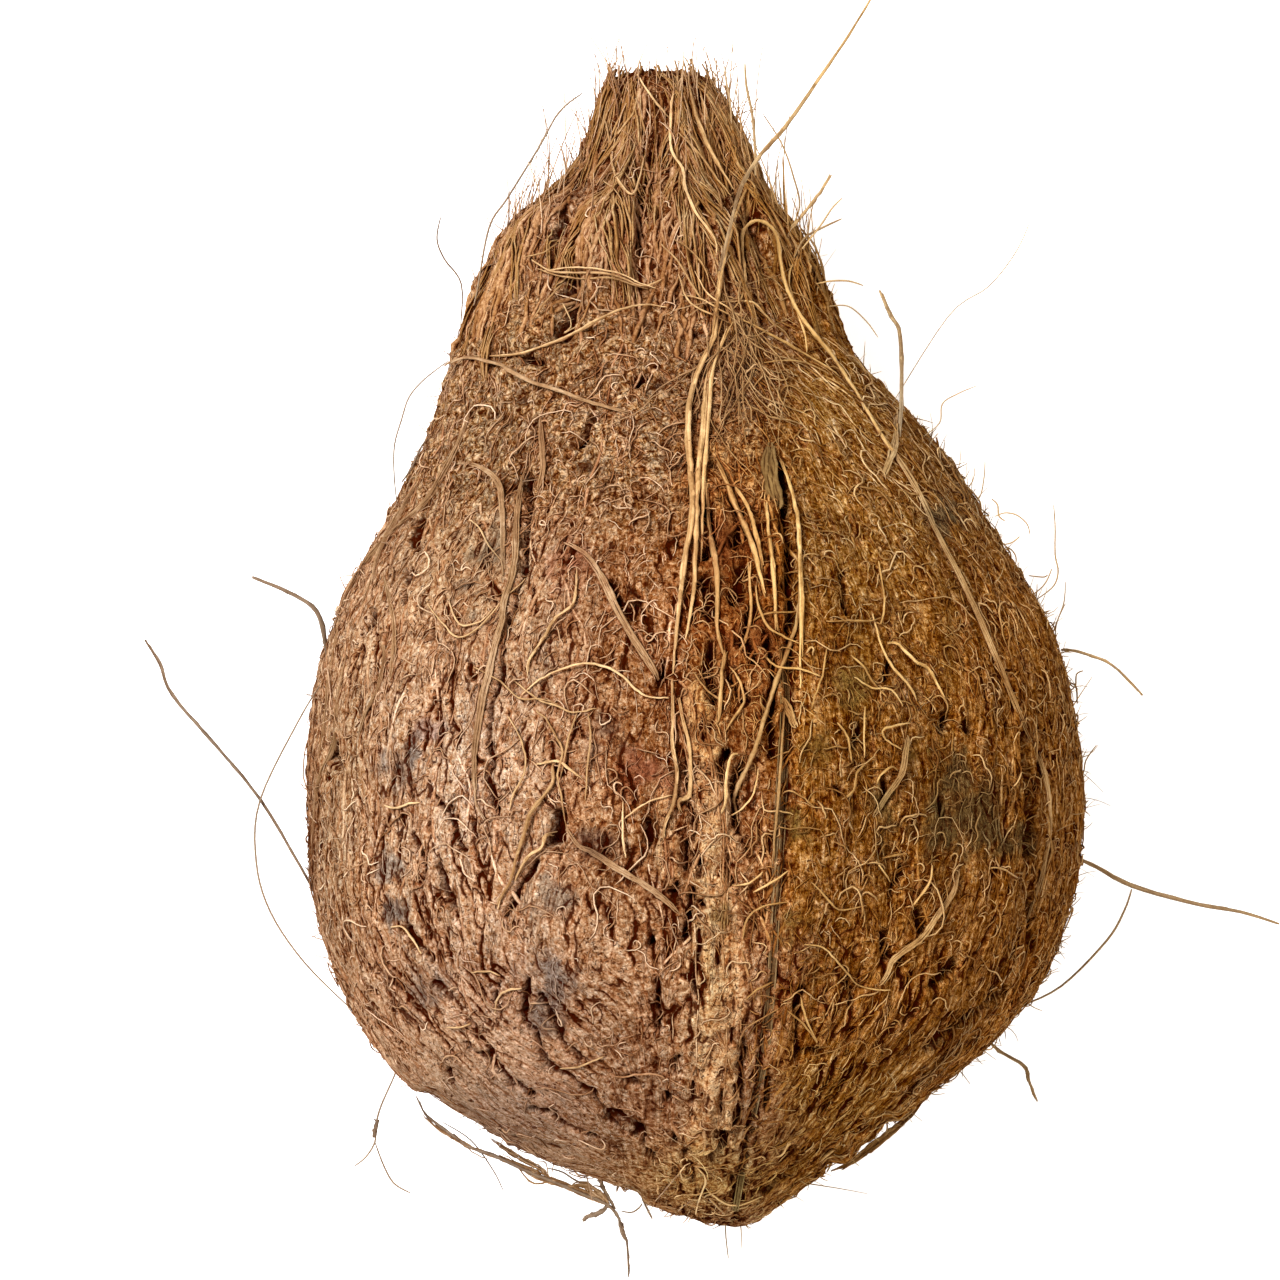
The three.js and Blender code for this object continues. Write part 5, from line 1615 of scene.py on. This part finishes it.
FINE_LOOSE = [
    (0.30, [(-49, 10, 50), (-49.6, 13.3, 50), (-50.9, 18.5, 51), (-54.7, 21.2, 52), (-59.4, 23.1, 53)]),
    (0.12, [(-50, 9.2, 50), (-53.3, 3.8, 50), (-58.5, -7.1, 51), (-59, -15.3, 51), (-57.1, -22.1, 51),
            (-52.6, -29, 50), (-46, -35.6, 50)]),
    (0.13, [(59.6, -19.1, 50), (58.6, -22, 50), (56.2, -26.1, 50), (50, -32.3, 50), (44, -35.2, 50)]),
    (0.20, [(50, 13.4, 50), (52.6, 13, 50), (56.8, 11.3, 51), (60.9, 7.2, 52)]),
    (0.22, [(39, -38.6, 50), (41.6, -41, 50), (44.9, -43, 50), (45.6, -45, 50), (46.8, -47.9, 50)]),
    (0.12, [(-39.6, -42, 50), (-40.4, -44.5, 50), (-42.2, -48.6, 50), (-42.9, -51.4, 50), (-43, -53.4, 50),
            (-44.2, -55.4, 50), (-45.8, -56.7, 50)]),
    (0.34, [(-42.6, -50.4, 50), (-42.9, -51.6, 50), (-43, -52.8, 50)]),
    (0.11, [(-43, -53.4, 50), (-41.8, -56.6, 50), (-40.4, -59, 50), (-38.2, -60.3, 50)]),
    (0.30, [(-11.2, -61.4, 52), (-12, -62.4, 52), (-13.4, -63, 52), (-14.3, -63.3, 52),
            (-14.8, -63.8, 52)]),
    (0.10, [(-19.5, -56.7, 52), (-17.6, -57.2, 52), (-16, -58.2, 52), (-14.4, -59, 52),
            (-12.8, -59.8, 52)]),
    (0.24, [(-13.4, -50, 59), (-13, -54, 56), (-12.6, -57.4, 53), (-12.2, -59, 52), (-11.4, -60.6, 52),
            (-10.4, -62.2, 52)]),
    (0.14, [(-10, -56, 54), (-9.9, -58, 53), (-10.2, -59.8, 52)]),
    (0.30, [(-9.7, -64.2, 51), (-9.5, -65.4, 51), (-9, -66.5, 51)]),
    (0.09, [(-9.6, -62.5, 52), (-8.2, -62.8, 51), (-7.2, -62.2, 51), (-6.8, -61.6, 51)]),
    (0.12, [(-6.8, -61, 50), (-6, -62.6, 50), (-5.4, -63.8, 50)]),
    (0.10, [(26.3, -50.2, 50), (26.4, -51.4, 51), (26, -52.4, 51)]),
    (0.11, [(25, -50.8, 50), (23.6, -52.6, 51), (22.2, -54.6, 51)]),
    (0.09, [(23.2, -52, 50), (24.4, -52.6, 51), (25.4, -53.2, 51)]),
    (0.10, [(20, -55.2, 50), (19, -56, 51), (18.2, -57.4, 51)]),
    (0.08, [(-34, -50.6, 50), (-30, -53, 51), (-27, -57, 51), (-25.5, -60, 51)]),
    (0.12, [(-29.6, 60, 50), (-29.1, 62.3, 50), (-27.5, 70.5, 51), (-25, 74.5, 51), (-20.7, 81.3, 52),
            (-18, 86, 52), (-14.8, 88.6, 52)]),
    (0.10, [(-31.4, 57, 50), (-31.3, 62.9, 50), (-33.6, 66.3, 50), (-34.6, 69, 50), (-34.1, 72, 50)]),
    (0.22, [(26.6, 39, 62), (27.4, 41.9, 60), (28, 47.3, 57), (27.9, 55.5, 56), (26.4, 58.6, 56),
            (25.1, 61.6, 56)]),
    (0.07, [(26, 45, 54), (34.4, 58.2, 54), (39.9, 62.3, 54), (43.6, 67, 54), (45.6, 71.4, 54)]),
    (0.08, [(31, 42, 52), (33.4, 44, 52), (33.8, 46.6, 52), (36, 48, 52), (38.4, 49, 52)]),
    (0.16, [(8.4, 77, 56), (8.4, 80, 56), (8, 85, 56), (7.2, 89, 56), (7, 92, 56)]),
    (0.12, [(5.2, 84, 56), (5, 87, 56), (4.5, 89.6, 56), (4.3, 91.6, 56)]),
    (0.10, [(12.8, 69, 54), (14.4, 73, 54), (13.6, 77, 54), (12, 81.5, 54), (9.4, 85.6, 54)]),
    (0.20, [(13.4, 70, 56), (15, 72, 57), (17, 74.6, 57), (18.6, 77, 57)]),
    (0.12, [(13.6, 66, 56), (15, 68.6, 56), (17.4, 70, 56), (20, 71.2, 56)]),
    (0.10, [(14.6, 67, 58), (17, 70, 58), (18.6, 72.4, 58), (20, 73.8, 58)]),
    (0.10, [(16.6, 62.6, 54), (18.6, 63, 54), (21, 63, 54), (23, 62.4, 54)]),
    (0.08, [(18.4, 59.6, 54), (21, 59.6, 54), (23.4, 57.6, 54), (25, 55.4, 54)]),
    (0.07, [(4.6, -62, 48), (4.6, -66, 47), (5, -69.8, 46)]),
    (0.10, [(50.6, 9, 50), (52, 8.4, 50), (52.2, 6, 50)]),
    (0.08, [(51.6, -6, 50), (53, -3.4, 50), (53.4, -1.6, 50), (54.8, 0.4, 50)]),
    (0.08, [(45, 20, 50), (47.6, 22, 50), (48.8, 24.4, 50)]),
    (0.07, [(47.6, 12, 50), (49.4, 17, 50), (50.4, 19.8, 50), (50.6, 22.6, 50)]),
    (0.09, [(-32.8, 52.2, 55), (-34.3, 51.2, 54), (-36.5, 49.5, 53), (-38.3, 47.4, 52), (-39.3, 44.4, 52),
            (-40.3, 41, 51), (-40.4, 37, 50), (-40, 33, 50)]),
    (0.12, [(-34.4, 43.6, 50), (-36.6, 41, 50), (-38, 38, 50), (-39.4, 36, 50)]),
    (0.09, [(46.8, 20.2, 50), (49, 22, 50), (49.6, 24, 50), (49.2, 26.3, 50), (49.2, 30, 50),
            (49, 33, 50)]),
    (0.08, [(45.6, 23.4, 50), (47.6, 23.2, 50), (48.2, 23.5, 50)]),
    (0.07, [(49.3, 14.6, 50), (49.3, 16.4, 50), (49.8, 18, 50), (50.6, 19.6, 50)]),
    (0.09, [(49.6, 9.6, 50), (50.8, 9, 50), (51.9, 8.3, 50), (52.1, 10, 50), (53, 10.5, 50)]),
    (0.09, [(40.6, 33.8, 50), (41.4, 33, 50), (41.6, 31.5, 50), (42.4, 30.8, 50)]),
    (0.08, [(41, 31.4, 50), (42.4, 31.9, 50), (44, 31.6, 50), (45.4, 30.4, 50), (45.8, 29, 50)]),
    (0.08, [(42.2, 27.6, 50), (43.4, 27.9, 50), (44.4, 28.7, 50)]),
    (0.07, [(38.6, 33.4, 50), (39.2, 34.6, 50), (39.6, 37, 50), (39.7, 38.9, 50)]),
]


BUNDLED_FROM = 0.25  # mm. A loose fibre of a greater radius has finer ones wound round it.


def loose_strands(routes):
    made = []
    for radius, route in routes:
        points = [p * MM for p in smooth_route(route)]
        core = radius
        if radius > BUNDLED_FROM:
            made += bundle(points, radius * MM, 3, 0.4)
            core = 0.75 * radius
        made.append((points, tapered(len(points), core * MM, 0.5)))
    return made


# Strips of husk that have torn loose along the base and follow its outline: half width, how many fibres,
# then where each runs.
TORN_STRIPS = [
    (0.20, 3, [(-36.7, -49.2, 51), (-34.5, -51.4, 51), (-32, -52.7, 52), (-29.6, -54, 52), (-26, -55.4, 52),
               (-23, -56.6, 52)]),
    (0.50, 8, [(-26.5, -55.1, 52), (-24.5, -55.9, 52), (-22, -57.1, 52), (-20, -58, 52), (-17, -59.1, 52),
               (-14.4, -60.2, 52), (-11.6, -61.5, 52)]),
    (0.30, 4, [(-27.4, -52.6, 51), (-25.4, -54, 52), (-23.5, -55.2, 52), (-21.6, -56.2, 52),
               (-20.2, -57, 52), (-19.4, -58.2, 52)]),
    (0.42, 5, [(-17, -59.2, 52), (-14.8, -58.9, 52), (-13.4, -59.6, 52), (-12.2, -60.5, 52),
               (-11.2, -61.6, 52)]),
    (0.45, 5, [(32, -46.2, 50), (30, -49, 51), (28.6, -50.5, 51), (27, -51.9, 51), (25.4, -53.1, 51),
               (23.6, -54.5, 51), (22, -55.7, 51), (20.4, -56.7, 51), (18.8, -57.4, 51)]),
]
torn_strips = []
for half_width, count, route in TORN_STRIPS:
    line = smooth_route(route)
    torn_strips += strip([p * MM for p in line], half_width * MM, count)
    # thin fibres part from the strip and join it again
    for _ in range(count):
        first = int(chance.uniform(0, 0.7) * len(line))
        part = line[first : first + int(chance.uniform(6, 14))]
        off = chance.normal(0, 0.8)
        phase = chance.uniform(0, 6)
        away = Vector((0.4 * off, off, 0))
        path = kinked([(p + away * math.sin(0.3 * k + phase)) * MM for k, p in enumerate(part)], 0.05 * MM)
        torn_strips.append((path, knotty(tapered(len(path), chance.uniform(0.07, 0.15) * MM))))

loose_material = coir_material(
    "loose_coir",
    [(0.05, (0.09, 0.052, 0.030)), (0.95, (0.25, 0.175, 0.115))],
    [(0.05, (0.15, 0.084, 0.034)), (0.95, (0.42, 0.285, 0.135))],
    0.6,
    sheen=0.05,
)
torn_material = coir_material(
    "torn_husk",
    [(0.05, (0.07, 0.030, 0.010)), (0.45, (0.20, 0.108, 0.046)), (0.9, (0.46, 0.31, 0.18))],
    [(0.05, (0.08, 0.034, 0.008)), (0.45, (0.20, 0.104, 0.036)), (0.9, (0.44, 0.29, 0.13))],
    0.8,
    grain=1.0,
)
strand_piece("torn_strips", torn_strips, 5, torn_material)
loose_piece = strand_piece("loose_fibres", loose_strands(LOOSE), 6, loose_material)
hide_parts("top_loose_fibre", "left_loose_fibre", "right_loose_fibre", "base_loose_fibre")
fine_strands = loose_strands([(1.3 * radius, route) for radius, route in FINE_LOOSE])
strand_piece("fine_loose_fibres", fine_strands, 5, loose_material)


# ----------------------------------------------------------------------------------------------------
# A white table under soft daylight from the upper left, and the camera straight above.
floor_mesh = bpy.data.meshes.new("floor")
bm = bmesh.new()
bmesh.ops.create_grid(bm, x_segments=1, y_segments=1, size=2.0)
bm.to_mesh(floor_mesh)
bm.free()
floor = link(bpy.data.objects.new("floor", floor_mesh))
floor_material, tree, shader = new_material("white_table")
shader.inputs["Base Color"].default_value = (0.93, 0.93, 0.93, 1)
shader.inputs["Roughness"].default_value = 0.9
shader.inputs["Emission Color"].default_value = (1, 1, 1, 1)
shader.inputs["Emission Strength"].default_value = 0.6
floor_mesh.materials.append(floor_material)

middle = Vector((0, 5 * MM, 48 * MM))


def soft_light(name, place, size, power, colour):
    lamp = bpy.data.lights.new(name, "AREA")
    lamp.shape = "DISK"
    lamp.size = size
    lamp.energy = power
    lamp.color = colour
    made = link(bpy.data.objects.new(name, lamp))
    made.location = place
    made.rotation_euler = (middle - Vector(place)).to_track_quat("-Z", "Y").to_euler()


soft_light("window", (-0.38, 0.30, 0.81), 0.30, 15.0, (0.98, 0.99, 1.0))
soft_light("room", (0.42, -0.36, 0.80), 0.9, 6.0, (1.0, 0.94, 0.87))
world = bpy.data.worlds.new("studio")
world.use_nodes = True
world.node_tree.nodes["Background"].inputs["Color"].default_value = (1.0, 0.84, 0.68, 1)
world.node_tree.nodes["Background"].inputs["Strength"].default_value = 0.36
scene.world = world
scene.view_settings.view_transform = "Standard"

SENSOR_WIDTH = 36
VIEW_ACROSS = 174.1  # mm, what the camera takes in at the level sheet through the nut's middle
camera = link(bpy.data.objects.new("camera", bpy.data.cameras.new("camera")))
camera.location = eye
camera.data.sensor_width = SENSOR_WIDTH
camera.data.lens = SENSOR_WIDTH * (EYE[2] - SHEET) / VIEW_ACROSS
camera.data.clip_start = 0.01
scene.camera = camera
